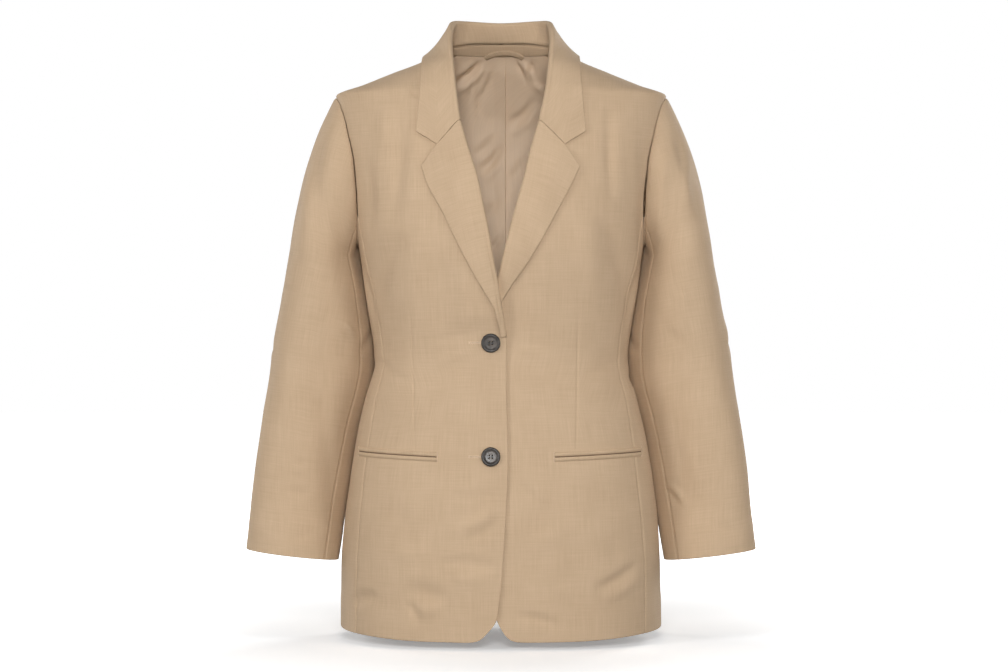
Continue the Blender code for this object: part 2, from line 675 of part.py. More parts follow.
def loop_grid():
    """The hanger loop: a tape that arches up from the seam below the facing."""
    along = np.linspace(0, 1, 9)
    x = LOOP_ENDS[0] + along * (LOOP_ENDS[1] - LOOP_ENDS[0])
    middle = FACING_BOTTOM - 2.2 + LOOP_RISE * np.sin(np.pi * along) ** 0.6
    slope = np.gradient(middle, x)
    across = unit(np.stack([-slope, np.ones(len(x))], -1)) * LOOP_WIDTH / 2
    out = LOOP_OUT - 1.2 * np.sin(np.pi * along)
    sides = (np.stack([x, middle], -1) + sign * across for sign in (-1, 1))
    return np.stack([on_face(side[:, 0], side[:, 1], out, "back") for side in sides])


# Blender objects ----------------------------------------------------------------------------------------------


def material(name, colour, roughness):
    made = bpy.data.materials.new(name)
    made.use_nodes = True
    shader = made.node_tree.nodes["Principled BSDF"]
    shader.inputs["Base Color"].default_value = (*colour, 1)
    shader.inputs["Roughness"].default_value = roughness
    shader.inputs["Metallic"].default_value = 0
    return made


def cloth_sheet(name, grid, thickness, finish, collection, side=1):
    """A wall of cloth: the grid of points as an open surface, thickened to both sides."""
    grid = trimmed(grid) * np.array((side, 1, 1))
    rows, columns = grid.shape[:2]
    shape = bmesh.new()
    bmesh.ops.create_grid(shape, x_segments=columns - 1, y_segments=rows - 1, size=1)
    for vertex, point in zip(shape.verts, grid.reshape(-1, 3) * MM):
        vertex.co = point
    mesh = bpy.data.meshes.new(name)
    shape.to_mesh(mesh)
    shape.free()
    sheet = bpy.data.objects.new(name, mesh)
    collection.objects.link(sheet)
    wall = sheet.modifiers.new("wall", "SOLIDIFY")
    wall.thickness = thickness * MM
    wall.offset = 0
    wall.use_even_offset = True
    mesh.materials.append(finish)
    mesh.shade_smooth()
    return sheet


def button(name, height, finish, parts, cutters):
    """A turned four-hole button with a raised rim, facing out from the right front."""
    profile = bmesh.new()
    points = [profile.verts.new((radius * MM, 0, level * MM)) for radius, level in BUTTON_PROFILE]
    for first, second in zip(points, points[1:]):
        profile.edges.new((first, second))
    mesh = bpy.data.meshes.new(name)
    profile.to_mesh(mesh)
    profile.free()
    turned = bpy.data.objects.new(name, mesh)
    parts.objects.link(turned)
    screw = turned.modifiers.new("turn", "SCREW")
    screw.steps = screw.render_steps = 24
    screw.use_merge_vertices = True
    screw.merge_threshold = 0.00005
    own_x = -BUTTON_X
    seat = on_face(own_x, height, front_out("right", own_x, height) + BUTTON_OUT) * np.array((-1, 1, 1))
    facing = outward(on_face(own_x, height)) * np.array((-1, 1, 1))
    turned.location = Vector(seat * MM)
    turned.rotation_euler = Vector(facing).to_track_quat("Z", "Y").to_euler()
    bpy.context.view_layer.update()
    for column in (-1, 1):
        for row in (-1, 1):
            place = Vector((column, row, 0)) * BUTTON_HOLE_SPACING / 2 * MM
            bpy.ops.mesh.primitive_cylinder_add(vertices=8, radius=BUTTON_HOLE_RADIUS * MM, depth=12 * MM)
            hole = bpy.context.object
            hole.name = f"{name}_hole"
            hole.matrix_world = turned.matrix_world @ Matrix.Translation(place)
            hole.hide_render = True
            hole.display_type = "WIRE"
            for owner in list(hole.users_collection):
                owner.objects.unlink(hole)
            cutters.objects.link(hole)
            cut = turned.modifiers.new("hole", "BOOLEAN")
            cut.operation = "DIFFERENCE"
            cut.object = hole
    mesh.materials.append(finish)
    return turned


def build():
    for old in list(bpy.data.objects):
        bpy.data.objects.remove(old, do_unlink=True)
    parts = bpy.data.collections.new("single_breasted_blazer")
    cutters = bpy.data.collections.new("cutters")
    cutters.hide_render = True
    for collection in (parts, cutters):
        bpy.context.scene.collection.children.link(collection)
    finishes = {
        "cloth": material("cloth", COLOURS["cloth"], 0.85),
        "lining": material("lining", COLOURS["lining"], 0.6),
        "button": material("button", COLOURS["button"], 0.4),
    }

    def cloth(name, grid, thickness=CLOTH, finish="cloth", side=1):
        return cloth_sheet(name, grid, thickness, finishes[finish], parts, side)

    for hand, side in (("right", -1), ("left", 1)):
        cloth(f"front_{hand}", front_grid(hand), side=side)
        cloth(f"side_panel_{hand}", side_grid(), side=side)
        cloth(f"back_{hand}", back_grid(), side=side)
        top_turns = [turn - 360 for turn in BACK_TURNS[-2:0:-1]] + list(FRONT_TURNS) + [SLEEVE_SEAM_FRONT]
        cloth(f"top_sleeve_{hand}", sleeve_grid(top_turns), side=side)
        under_turns = list(UNDERARM_TURNS[1:]) + [SLEEVE_SEAM_BACK]
        cloth(f"under_sleeve_{hand}", sleeve_grid(under_turns), side=side)
        cloth(f"lapel_{hand}", lapel_grid(hand), TURNED_CLOTH, side=side)
        for part in ("upper", "lower"):
            cloth(f"pocket_welt_{part}_{hand}", welt_grid(hand, part), THIN_CLOTH, side=side)
    cloth("collar", collar_grid(), TURNED_CLOTH)
    cloth("back_neck_facing", facing_grid(), THIN_CLOTH)
    cloth("back_lining", lining_grid(), THIN_CLOTH, "lining")
    cloth("hanger_loop", loop_grid(), THIN_CLOTH)
    for name, height in BUTTON_HEIGHTS.items():
        button(name, height, finishes["button"], parts, cutters)


build()
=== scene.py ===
"""The looks of the single-breasted blazer: linen-look cloth with its seams and creases, lining, buttons and thread.

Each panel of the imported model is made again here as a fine, thin shell on the same body form. Sizes are in
millimetres until a mesh is made. The part's frame is kept: +Z up, the front faces -Y, +X is the wearer's left.
Panels are laid out in their own frame first, where x grows from the centre line towards the piece's own side.
"""

import json
import math

import bmesh
import bpy
import numpy as np
from mathutils import Matrix, Vector

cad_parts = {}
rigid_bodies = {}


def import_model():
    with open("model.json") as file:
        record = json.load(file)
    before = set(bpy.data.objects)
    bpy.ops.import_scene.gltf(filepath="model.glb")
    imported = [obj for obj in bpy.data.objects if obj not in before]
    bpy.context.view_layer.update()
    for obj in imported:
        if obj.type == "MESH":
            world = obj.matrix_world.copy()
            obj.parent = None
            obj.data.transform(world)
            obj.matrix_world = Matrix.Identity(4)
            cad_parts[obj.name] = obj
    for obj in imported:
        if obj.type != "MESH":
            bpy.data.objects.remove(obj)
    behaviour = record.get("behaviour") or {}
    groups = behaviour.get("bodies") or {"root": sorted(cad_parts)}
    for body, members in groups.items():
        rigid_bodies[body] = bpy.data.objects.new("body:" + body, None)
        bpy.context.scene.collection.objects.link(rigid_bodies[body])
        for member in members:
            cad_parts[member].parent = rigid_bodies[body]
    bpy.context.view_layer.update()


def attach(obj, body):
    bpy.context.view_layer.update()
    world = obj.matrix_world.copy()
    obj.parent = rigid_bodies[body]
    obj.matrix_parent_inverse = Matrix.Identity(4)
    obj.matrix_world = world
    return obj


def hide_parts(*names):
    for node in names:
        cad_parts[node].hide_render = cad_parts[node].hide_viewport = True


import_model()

MM = 0.001
HANDS = (("right", -1), ("left", 1))
FORWARD = np.array((0.0, -1.0, 0.0))

# Cloth walls, the distance between panels at a seam, and the steps of their grids, which are close at the edges
CLOTH = 1.4
TURNED_CLOTH = 2.2
THIN_CLOTH = 0.9
SEAM_GAP = 0.24
SPACING = 4.2
EDGE_STEPS = (0.5, 1.1, 1.9, 3.0)
EDGE_ROUND = 1.1

# How deep and how far a seam sinks, how its cloth puckers, and how far up the hem is turned
SEAM_DIP = 0.75
SEAM_REACH = 1.5
PUCKER = 0.2
PUCKER_REACH = 8
PUCKER_LENGTHS = (13.0, 21.0)
HEM_DEPTH = 38
HEM_STEP = 0.3

# The body form that every panel lies on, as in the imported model
FORM_COLUMNS = ("height", "half_width", "front", "back", "middle", "fullness")
FORM = (
    (-718, 198.0, 126, 133, 8.0, 2.50),
    (-640, 197.0, 123, 131, 7.0, 2.50),
    (-576, 193.0, 119, 128, 5.0, 2.45),
    (-527, 187.0, 114, 122, 3.0, 2.40),
    (-480, 179.0, 109, 115, 1.0, 2.40),
    (-429, 168.0, 104, 104, 0.0, 2.40),
    (-380, 156.0, 101, 97, 0.0, 2.35),
    (-305, 166.0, 110, 101, 0.0, 2.30),
    (-238, 176.0, 119, 107, 0.0, 2.30),
    (-190, 184.0, 117, 111, 1.0, 2.25),
    (-160, 190.5, 113, 112, 2.0, 2.20),
    (-133, 196.0, 107, 112, 3.0, 2.15),
    (-96, 204.0, 97, 109, 5.0, 2.05),
    (-70, 205.0, 88, 104, 6.0, 2.00),
    (-53, 205.0, 80, 98, 6.0, 1.95),
    (-40, 172.0, 75, 93, 8.0, 1.95),
    (-25, 135.0, 70, 87, 10.0, 1.95),
    (-9, 97.0, 64, 80, 12.0, 1.95),
    (0, 84.0, 60, 75, 12.0, 2.00),
    (12, 71.0, 54, 68, 12.0, 2.00),
    (22, 64.0, 50, 64, 12.0, 2.00),
    (34, 60.0, 46, 60, 12.0, 2.00),
)
NECK_HEIGHT = 12
SHOULDER_HEIGHT = -53
CENTRE_BACK_NECK = 20

# Seams of the side panel: angle round the form from the centre front, at each height, and at the hem
SIDE_SEAM_COLUMNS = ("height", "front_seam", "back_seam")
SIDE_SEAMS = ((-718, 56, 128), (-500, 58, 125), (-380, 62, 122))
HEM_ANGLES = {"front_seam": 56, "back_seam": 128}
HEM_COLUMNS = ("angle", "height")
HEM = ((0, -715), (25, -714.5), (56, -710), (90, -706.5), (128, -705), (180, -704))

# The armhole is an egg seen from the side. A turn of 0 is its top, 90 its front, 180 the underarm.
ARMHOLE_MIDDLE = -146
ARMHOLE_RISE = 92
ARMHOLE_FORWARD = 48
ARMHOLE_BACKWARD = 58
FRONT_TURNS = (0, 8, 16, 32, 48, 64, 80, 95, 110, 125)
UNDERARM_ENDS = {"front_seam": 125, "back_seam": 235}
BACK_TURNS = (360, 352, 344, 328, 312, 296, 280, 265, 250, 235)
UNDERARM_CLEAR = 1.0
SLEEVE_SEAM_FRONT = 137
SLEEVE_SEAM_BACK = 250

# Each front's own edge. right is the buttonhole side, which laps over left.
EDGE_COLUMNS = ("height", "right", "left")
FRONT_EDGE = (
    (-705, 18.0, 4.2),
    (-699, 12.0, 0.2),
    (-692, 6.8, -3.6),
    (-685, 4.2, -6.5),
    (-653, 0.2, -14.0),
    (-614, -3.0, -22.5),
    (-550, -7.0, -29.0),
    (-495, -8.6, -31.0),
    (-400, -6.5, -31.0),
    (-353, -6.8, -31.0),
    (-351.6, -6.2, -30.5),
    (-349.6, -2.3, -27.5),
    (-347, -1.3, -25.0),
    (-330, 2.0, -17.5),
    (-307, 6.2, -8.0),
    (-282, 10.0, 0.8),
    (-260, 14.2, 7.0),
    (-234, 18.4, 13.0),
    (-198, 25.3, 22.5),
    (-159, 33.7, 33.3),
    (-127, 43.6, 41.0),
    (-95, 53.5, 51.0),
    (-80, 62.0, 62.0),
    (-55, 70.0, 70.0),
    (-28, 74.0, 74.0),
    (-4, 75.0, 75.0),
    (12, 71.0, 71.0),
)

# Where the rows of the fronts and backs meet the front edge and the centre back
FRONT_EDGE_ROWS = (-705, -692, -620, -530, -440, -353, -347, -325, -300, -250, -205,
                   -160, -118, -80, -50, -26, -9, 1, 8, 12)
CENTRE_BACK_ROWS = (-200, -160, -118, -76, -34, 20)
BACK_NECK_ANGLES = (157, 135, 112, 90)
LOWER_ROWS = 10
HEM_CORNER_COLUMNS = ("from_edge", "above_hem")
HEM_CORNER = ((0, 10), (5, 4.6), (10, 1.8), (17, 0.4), (28, 0), (250, 0))

# Where each lapel folds, its outer edge, and where it meets the collar at the gorge
ROLL_COLUMNS = ("height", "right", "left")
ROLL_LINE = (
    (-352, -6.5, -31.0),
    (-330, -3.0, -22.5),
    (-307, 1.2, -13.0),
    (-282, 4.8, -4.2),
    (-260, 9.2, 2.0),
    (-234, 13.4, 8.0),
    (-198, 20.3, 17.5),
    (-159, 28.7, 28.3),
    (-127, 38.6, 35.8),
    (-91, 49.0, 46.0),
)
LAPEL_EDGE_COLUMNS = ("height", "right", "left")
LAPEL_EDGE = (
    (-356, -5.5, -29.0),
    (-336, 0.7, -16.0),
    (-318, 7.2, -4.0),
    (-295, 20.3, 9.5),
    (-266, 37.0, 29.5),
    (-235, 53.7, 48.5),
    (-200, 70.6, 67.5),
    (-169, 87.5, 84.0),
    (-147, 95.0, 94.0),
)
NOTCH = (76.0, -120.5)
GORGE_HEIGHT = -91.0
LAPEL_BOTTOM = -350.8
LAPEL_EDGE_BOTTOM = -352.2
LAPEL_END = 22
LAPEL_END_SINK = 1.0
GORGE_FOOT = (68.0, -98.0)

# The collar, from its front end round to the centre back: the x, y and z of its fold, free edge and foot
COLLAR = (
    (48.0, -90, -91, 102.0, -88, -104, 68.0, -86, -98),
    (52.0, -84, -68, 99.0, -77, -62, 74.0, -72, -62),
    (56.0, -72, -40, 96.5, -53, -29, 76.0, -54, -32),
    (59.0, -56, -14, 96.5, -25, -12, 75.0, -31, -6),
    (62.0, -28, 16, 97.0, 10, -3, 74.5, -4, 6),
    (61.0, 2, 35, 94.0, 38, -8, 69.0, 20, 13.5),
    (57.5, 28, 43, 80.0, 66, -13, 57.0, 40, 17),
    (42.0, 50, 45.5, 50.0, 83, -12, 36.0, 55, 20.5),
    (0.0, 60, 44.5, 0.0, 86, -8, 0.0, 62, 21),
)
FOLD_RADIUS = 3.15

# How far out the fronts lie where they lap, and how far their turned edges stand off them
LAP_STEP = 1.8
LAP_FROM, LAP_TO = 40, 71
UNDER_LAP_FROM, UNDER_LAP_TO = 12, 56
BREAK_STEP_OVER = 4.6
BREAK_STEP_UNDER = -2.0
LEG_OUT = 3.2
LAPEL_SPRING = 0.8
COLLAR_SPRING = 1.2
COLLAR_LIFT = 1.4
LEG_IN = -3.1
NECK_LEG_IN = -4.2

# Level sections of the sleeve below the underarm
SLEEVE_COLUMNS = ("height", "centre_x", "centre_y", "half_width", "half_depth", "inner_back")
SLEEVE = (
    (-248, 219.0, 2, 42.9, 65, 20),
    (-310, 216.9, 3, 54.9, 60, 26),
    (-385, 221.0, 4, 63.8, 52, 30),
    (-460, 235.7, 0, 60.2, 47, 30),
    (-540, 248.1, -6, 57.8, 42, 26),
    (-619.5, 257.8, -12, 56.0, 38, 6),
)
SLEEVE_TILT = math.radians(7)
CAP_LENGTH = 130

# Pockets, as inner x and height and outer x and height of the slit, and what else lies on or in the body
POCKETS = {"right": (76.5, -495, 172, -491), "left": (64.0, -495, 170, -491)}
WELT_WIDTH = 5.5
WELT_SLIT = 1.0
WELT_OUT = 2.3
POCKET_MOUTH_OUT = 1.15
BUTTON_X = -12
BUTTON_HEIGHTS = {"button_top": -358, "button_bottom": -494.6}
BUTTON_OUT = 1.6
BUTTON_RADIUS = 11.5
BUTTON_TOP = ((0, 1.9), (6.6, 2.05), (7.6, 2.55), (8.6, 3.25), (9.6, 3.5), (10.5, 3.2), (11.2, 2.5), (11.5, 1.8))
BUTTON_SIDES = 72
BUTTON_HOLE_RADIUS = 1.1
BUTTON_HOLE_SPACING = 3.6
BUTTONHOLE = (-37, -9)
STITCH_PITCH = 0.62
FACING_BOTTOM = 6
FACING_REACH = 62
FACING_OUT = -3.9
LINING_OUT = (-3.9, -6.0)
LINING_COLUMNS = ("height", "half_width")
LINING = (
    (5.6, 58), (-20, 90), (-45, 132), (-85, 154), (-140, 150), (-210, 144), (-300, 132), (-390, 124),
    (-480, 142), (-580, 156), (-684, 162),
)
LINING_TOP_BAND = 0.4
LINING_HEM = -684
PLEAT_X = 5
PLEAT_DEPTH = 3
PLEAT_WIDTH = 14
LOOP_ENDS = (-21, 29)
LOOP_RISE = 7.5
LOOP_WIDTH = 5.5
LOOP_CLOTH = 2.0
LOOP_OUT = -6.0

# Front darts, as the x and height of the top end and of the bottom end
DARTS = {"right": (108, -312, 103, -486), "left": (93, -316, 90, -486)}
DART_DEPTH = 0.6
DART_WIDTH = 1.1
DART_STEP = 0.8

# Lengths of cloth that set how many steps the grids have
FRONT_WIDTH = 190
FRONT_LENGTH = 755
BACK_WIDTH = 190
SIDE_WIDTH = 200

# Creases, by the side of the blazer that they are seen from: from_across, from_z, to_across, to_z, bow, width and
# height. Across is x on the front and back and y on the wearer's right and left. The bow is how far the middle lies
# beside a straight line, the width is a half width, and a negative height is a trough.
BODY_CREASES = {
    "front": (
        # chest, the wearer's right
        (-119, -95, -131, -215, 3, 11, -1.6),
        (-118, -225, -153, -312, -5, 14, -2.3),
        (-96, -200, -112, -330, 4, 16, 1.2),
        (-163, -130, -158, -230, 4, 7, -1.0),
        (-107, -40, -101, -62, -3, 4.5, -1.4),
        (-140, -60, -150, -150, 3, 12, 0.9),
        # chest, the wearer's left
        (133, -70, 134, -190, -3, 9, -1.5),
        (121, -205, 157, -318, 6, 14, -2.2),
        (104, -200, 118, -320, -3, 17, 1.1),
        (178, -150, 173, -262, -3, 8, -1.3),
        (155, -95, 160, -180, 3, 10, 0.8),
        # waist and the pull of the buttons
        (-30, -345, -92, -352, 4, 5, -0.45),
        (-28, -368, -88, -392, -4, 7, 0.5),
        (-150, -384, -96, -408, -4, 6, -0.45),
        (-166, -378, -132, -389, 3, 4, -0.5),
        (-29, -471, -16, -486, 2, 3, -1.0),
        (-50, -451, -24, -475, 3, 4, 0.6),
        (-12, -376, 6, -384, 1, 5, -0.5),
        (14, -366, 66, -382, 4, 8, 0.5),
        (150, -372, 96, -398, 4, 8, -0.55),
        # skirt, the wearer's right
        (-64, -541, 4, -534, -4, 7, -0.7),
        (-58, -584, -2, -548, -6, 8, 1.2),
        (-42, -592, 2, -566, -4, 7, -1.1),
        (-78, -622, 0, -627, 6, 6, -1.0),
        (-60, -637, -4, -634, -4, 8, 0.9),
        (-120, -655, -60, -672, 8, 12, -1.2),
        (-178, -676, -146, -662, 4, 8, -1.8),
        (-112, -668, -100, -696, 4, 7, -1.5),
        (-96, -680, -62, -664, -3, 8, 1.1),
        (-150, -560, -100, -580, 5, 16, -0.8),
        (-132, -612, -84, -600, -5, 14, 0.8),
        # skirt, the wearer's left
        (16, -524, 46, -560, 5, 7, -0.9),
        (24, -512, 58, -548, -4, 8, 0.6),
        (88, -519, 116, -524, 1, 3, -0.55),
        (90, -526, 112, -530, 1, 3, -0.45),
        (30, -600, 78, -574, -5, 13, 0.8),
        (110, -652, 166, -622, -4, 7, -1.3),
        (118, -664, 170, -640, -4, 8, 1.0),
        (12, -684, 70, -697, 5, 6, -1.3),
        (62, -650, 84, -668, 4, 6, 0.8),
        (132, -585, 150, -640, -4, 12, -0.7),
    ),
    "back": (
        (-150, -95, -140, -225, 4, 12, -2.0),
        (148, -90, 141, -240, -5, 12, -2.2),
        (-120, -150, -118, -290, -4, 15, 1.2),
        (122, -130, 115, -280, 5, 16, 1.3),
        (-166, -130, -160, -235, 3, 8, 1.0),
        (-110, -352, -30, -372, 8, 8, -1.1),
        (30, -366, 118, -345, 8, 9, -1.2),
        (-92, -392, -24, -398, 5, 8, 0.9),
        (22, -402, 84, -388, -5, 8, 0.8),
        (-138, -410, -76, -442, -6, 10, -0.9),
        (74, -436, 140, -404, -6, 10, -0.9),
        (-12, -600, -70, -655, 7, 13, -1.2),
        (14, -560, 60, -640, -8, 14, -1.2),
        (104, -640, 150, -672, 5, 10, -1.3),
        (-150, -630, -104, -668, -5, 10, -1.2),
        (-34, -670, 20, -684, 5, 8, 1.0),
        (-60, -60, -36, -120, 5, 12, -0.8),
        (64, -62, 40, -128, -5, 12, -0.8),
    ),
    "right": (
        # under the arms
        (10, -250, 26, -372, 6, 12, -1.5),
        (-30, -262, -40, -350, -5, 11, -1.2),
        (-20, -388, 44, -400, 5, 9, -0.9),
        (20, -560, 10, -680, 6, 16, -1.0),
    ),
    "left": (
        (16, -255, 30, -366, 6, 12, -1.4),
        (-26, -258, -44, -360, -5, 11, -1.3),
        (-34, -402, 38, -392, -5, 9, -0.9),
        (30, -550, 14, -676, -6, 16, -1.1),
    ),
}
SLEEVE_CREASES = {
    "front": (
        # the wearer's right sleeve
        (-216, -98, -224, -196, -5, 10, -1.4),
        (-238, -150, -240, -262, 4, 12, 1.0),
        (-200, -190, -196, -300, 3, 10, -1.2),
        (-194, -336, -181, -352, 2, 3.4, 1.3),
        (-196, -341, -184, -357, 2, 3.4, -1.2),
        (-208, -352, -190, -380, 4, 8, -0.8),
        (-258, -506, -230, -514, 3, 3.5, -0.9),
        (-256, -513, -232, -507, -3, 3.5, 0.8),
        (-268, -541, -234, -549, 4, 4.5, -0.7),
        (-250, -558, -226, -548, 3, 6, 0.7),
        (-226, -420, -214, -560, 5, 11, -1.0),
        (-276, -330, -282, -470, -6, 16, -0.8),
        (-222, -586, -258, -596, 3, 7, -0.7),
        # the wearer's left sleeve
        (212, -98, 222, -158, 4, 7, -1.5),
        (204, -120, 196, -232, -4, 9, 1.0),
        (232, -118, 243, -215, 4, 10, -1.1),
        (222, -140, 226, -200, 3, 6, 0.8),
        (217, -296, 227, -310, 2, 3.2, 1.2),
        (214, -292, 222, -306, 2, 3.6, -1.0),
        (206, -338, 224, -364, -3, 8, -0.8),
        (204, -540, 222, -562, 2, 3.4, -1.1),
        (207, -533, 226, -556, 2, 4, 0.9),
        (216, -430, 236, -566, -5, 11, -1.0),
        (262, -300, 284, -450, 7, 15, -0.8),
        (252, -575, 290, -588, -4, 7, -0.7),
    ),
    "back": (
        # the elbows
        (-206, -110, -224, -240, -5, 12, -1.5),
        (206, -112, 226, -232, 5, 12, -1.5),
        (-252, -338, -206, -368, 6, 6, -1.6),
        (-256, -354, -214, -384, 6, 7, 1.2),
        (-262, -378, -222, -398, 5, 6, -1.2),
        (208, -364, 254, -340, -6, 6, -1.5),
        (214, -382, 258, -356, -6, 7, 1.2),
        (224, -402, 266, -384, -5, 6, -1.1),
        (-280, -470, -246, -520, 5, 11, -0.9),
        (250, -516, 284, -462, -5, 11, -0.9),
        (240, -566, 282, -580, 4, 7, -0.8),
        (-284, -576, -244, -562, 4, 7, -0.8),
    ),
    "right": (
        (-20, -130, -6, -300, 6, 14, -1.1),
        (26, -330, -8, -372, 5, 7, -1.0),
    ),
    "left": (
        (-18, -124, -4, -290, 6, 14, -1.1),
        (-10, -376, 28, -336, 5, 7, -1.0),
    ),
}
# Folds in the lining, which hangs loose from the neck
LINING_CREASES = {
    "front": (
        (-62, -30, -22, 4, -4, 4.5, -2.2),
        (-60, -40, -20, -6, -5, 5, 1.8),
        (-30, -52, -10, -12, -2, 4, -1.6),
        (-38, -50, -34, -20, 2, 3, -1.2),
        (-27, -75, -29, -34, 2, 3.4, -1.3),
        (15, 2, 32, -30, 2, 3, -1.6),
        (20, 3, 42, -28, 3, 3.4, 1.4),
        (32, -26, 46, 1, 2, 3.4, -1.5),
        (38, -30, 56, -44, 3, 5, 1.4),
        (12, -76, 44, -44, -4, 5, -1.6),
        (12, -92, 46, -58, -4, 6, 1.4),
        (-34, -118, -8, -92, -3, 6, -1.3),
        (-30, -140, 1, -104, -4, 6, -1.5),
        (-26, -152, 2, -118, -4, 7, 1.2),
        (-24, -196, -2, -172, -3, 6, -1.1),
        (-18, -240, 2, -216, -3, 4, -1.3),
        (10, -150, 30, -120, -3, 7, -1.1),
        (9, -182, 24, -160, -3, 7, 1.0),
        (-70, -180, -40, -420, 8, 16, -1.4),
        (60, -170, 44, -430, -8, 16, -1.4),
        (-90, -440, -60, -660, 6, 18, -1.4),
        (82, -450, 66, -650, -6, 18, -1.4),
        (-24, -380, -20, -640, 4, 14, 1.2),
        (34, -370, 26, -640, -4, 14, 1.2),
    ),
}
# The inside of the collar stand is a little rumpled too
STAND_CREASES = {
    "front": (
        (-46, 24, -40, 40, 1, 3, -0.7),
        (-20, 26, -24, 42, 1, 4, -0.5),
        (18, 24, 22, 41, 1, 4, -0.5),
        (44, 24, 52, 42, 2, 4, -0.8),
    ),
}
CREASE_STRENGTH = 2.0
CREASE_SPREAD = 0.8
RUMPLE_WAVES = 26
RUMPLE_LENGTHS = (38, 150)
RUMPLE_HEIGHT = 0.55
RUMPLE_SEED = 11

# Colours, as linear light
CLOTH_DARK = (0.510, 0.362, 0.230)
CLOTH_LIGHT = (0.606, 0.442, 0.290)
LINING_COLOUR = (0.700, 0.525, 0.365)
LINING_DARK = (0.655, 0.485, 0.335)
THREAD_COLOUR = (0.78, 0.60, 0.42)
BUTTON_COLOUR = (0.022, 0.019, 0.017)
BUTTON_LIGHT = (0.120, 0.100, 0.086)
BUTTON_THREAD_COLOUR = (0.012, 0.010, 0.009)
# Painted shade: the pocket lining in the pocket slits and the buttonhole slits is coloured this dark for the shade
# that falls there
POCKET_MOUTH_SHADE_COLOUR = (0.12, 0.075, 0.042)
WEAVE_PITCH = 0.55
TWILL_PITCH = 0.6

# The studio, in metres except the floor's height. The floor glows by its near and far (distance, strength). A light
# has its name, place, aim, size and power.
FLOOR = -724
WORLD_STRENGTH = 0.13
FLOOR_REACH = 9
FLOOR_GLOW = ((0.25, 0.28), (1.1, 1.0))
LIGHTS = (
    ("front", (0.0, -3.1, 0.3), (0, 0, -0.36), (0.7, 0.6), 60),
    ("key", (-2.2, -1.8, 0.2), (0, 0, -0.36), (0.7, 1.0), 26),
    ("fill", (2.3, -1.9, -0.2), (0, 0, -0.36), (0.9, 1.2), 22),
    ("top", (0.0, -1.2, 2.1), (0, 0, -0.3), (0.8, 0.8), 7),
    ("back_left", (1.9, 2.6, 0.4), (0, 0, -0.36), (1.0, 1.2), 60),
    ("back_right", (-2.3, 2.2, 0.1), (0, 0, -0.36), (1.0, 1.2), 38),
)
CAMERA_DISTANCE = 3.0
CAMERA_X = 0.0037
CAMERA_HEIGHT = -0.350
VIEW_WIDTH = 1.24992


# Curves through tables -------------------------------------------------------------------------------------------


def hermite(t, start, end, leaving, arriving):
    """The place at t, from 0 to 1, on a cubic between two ends that leaves and arrives at these rates."""
    low = start * (1 + 2 * t) * (1 - t) ** 2 + leaving * t * (1 - t) ** 2
    high = end * t**2 * (3 - 2 * t) + arriving * t**2 * (t - 1)
    return low + high


def smooth(xs, ys, samples=6000):
    """A monotone cubic through the points, as a function read from a fine table of itself."""
    xs, ys = np.asarray(xs, float), np.asarray(ys, float)
    steps = np.diff(xs)
    slopes = np.diff(ys) / steps
    same_way = slopes[:-1] * slopes[1:] > 0
    first = 2 * steps[1:] + steps[:-1]
    second = steps[1:] + 2 * steps[:-1]
    before, after = (np.where(same_way, part, 1.0) for part in (slopes[:-1], slopes[1:]))
    inner = np.where(same_way, (first + second) / (first / before + second / after), 0.0)
    rates = np.concatenate([slopes[:1], inner, slopes[-1:]])
    fine = np.linspace(xs[0], xs[-1], samples)
    at = np.clip(np.searchsorted(xs, fine) - 1, 0, len(xs) - 2)
    t = (fine - xs[at]) / steps[at]
    curve = hermite(t, ys[at], ys[at + 1], rates[at] * steps[at], rates[at + 1] * steps[at])
    return lambda x: np.interp(x, fine, curve)


def smooth_table(rows, columns, name):
    """A monotone cubic through one column of a table, as a function of the table's first column."""
    table = np.array(sorted(rows), float)
    return smooth(table[:, 0], table[:, columns.index(name)])


FORM_AT = {name: smooth_table(FORM, FORM_COLUMNS, name) for name in FORM_COLUMNS[1:]}
HEM_AT = smooth_table(HEM, HEM_COLUMNS, "height")
CORNER_AT = smooth_table(HEM_CORNER, HEM_CORNER_COLUMNS, "above_hem")
EDGE_AT = {hand: smooth_table(FRONT_EDGE, EDGE_COLUMNS, hand) for hand, _ in HANDS}
ROLL_AT = {hand: smooth_table(ROLL_LINE, ROLL_COLUMNS, hand) for hand, _ in HANDS}
LAPEL_EDGE_AT = {hand: smooth_table(LAPEL_EDGE, LAPEL_EDGE_COLUMNS, hand) for hand, _ in HANDS}
SLEEVE_AT = {name: smooth_table(SLEEVE, SLEEVE_COLUMNS, name) for name in SLEEVE_COLUMNS[1:]}
LINING_AT = smooth_table(LINING, LINING_COLUMNS, "half_width")


def by_row(values):
    """A function that reads a list at any place between its rows."""
    return smooth(np.arange(len(values)), values)


def ease(value, start, end):
    """0 at start, 1 at end, with a smooth step between."""
    t = np.clip((np.asarray(value, float) - start) / (end - start), 0, 1)
    return t * t * (3 - 2 * t)


def unit(vectors):
    return vectors / np.maximum(np.linalg.norm(vectors, axis=-1, keepdims=True), 1e-9)


def lengths_along(line):
    """The distance along a line of points from its first one."""
    return np.concatenate([[0], np.cumsum(np.linalg.norm(np.diff(line, axis=0), axis=1))])


def stations(length, spacing=SPACING, bands=()):
    """Places from 0 to 1 along a length: even, closer at both ends and in each band of (middle, reach, step)."""
    places = list(np.linspace(0, length, max(4, round(length / spacing)) + 1))
    close = [0, length] + [step for step in EDGE_STEPS] + [length - step for step in EDGE_STEPS]
    for middle, reach, step in bands:
        close += list(np.arange(middle - reach, middle + reach + step / 2, step))
    close = sorted(place for place in close if 0 <= place <= length)
    apart = min(EDGE_STEPS)
    kept = [place for place in places if min(abs(place - other) for other in close) > 1.5 * apart]
    return np.array(sorted(kept + close)) / length


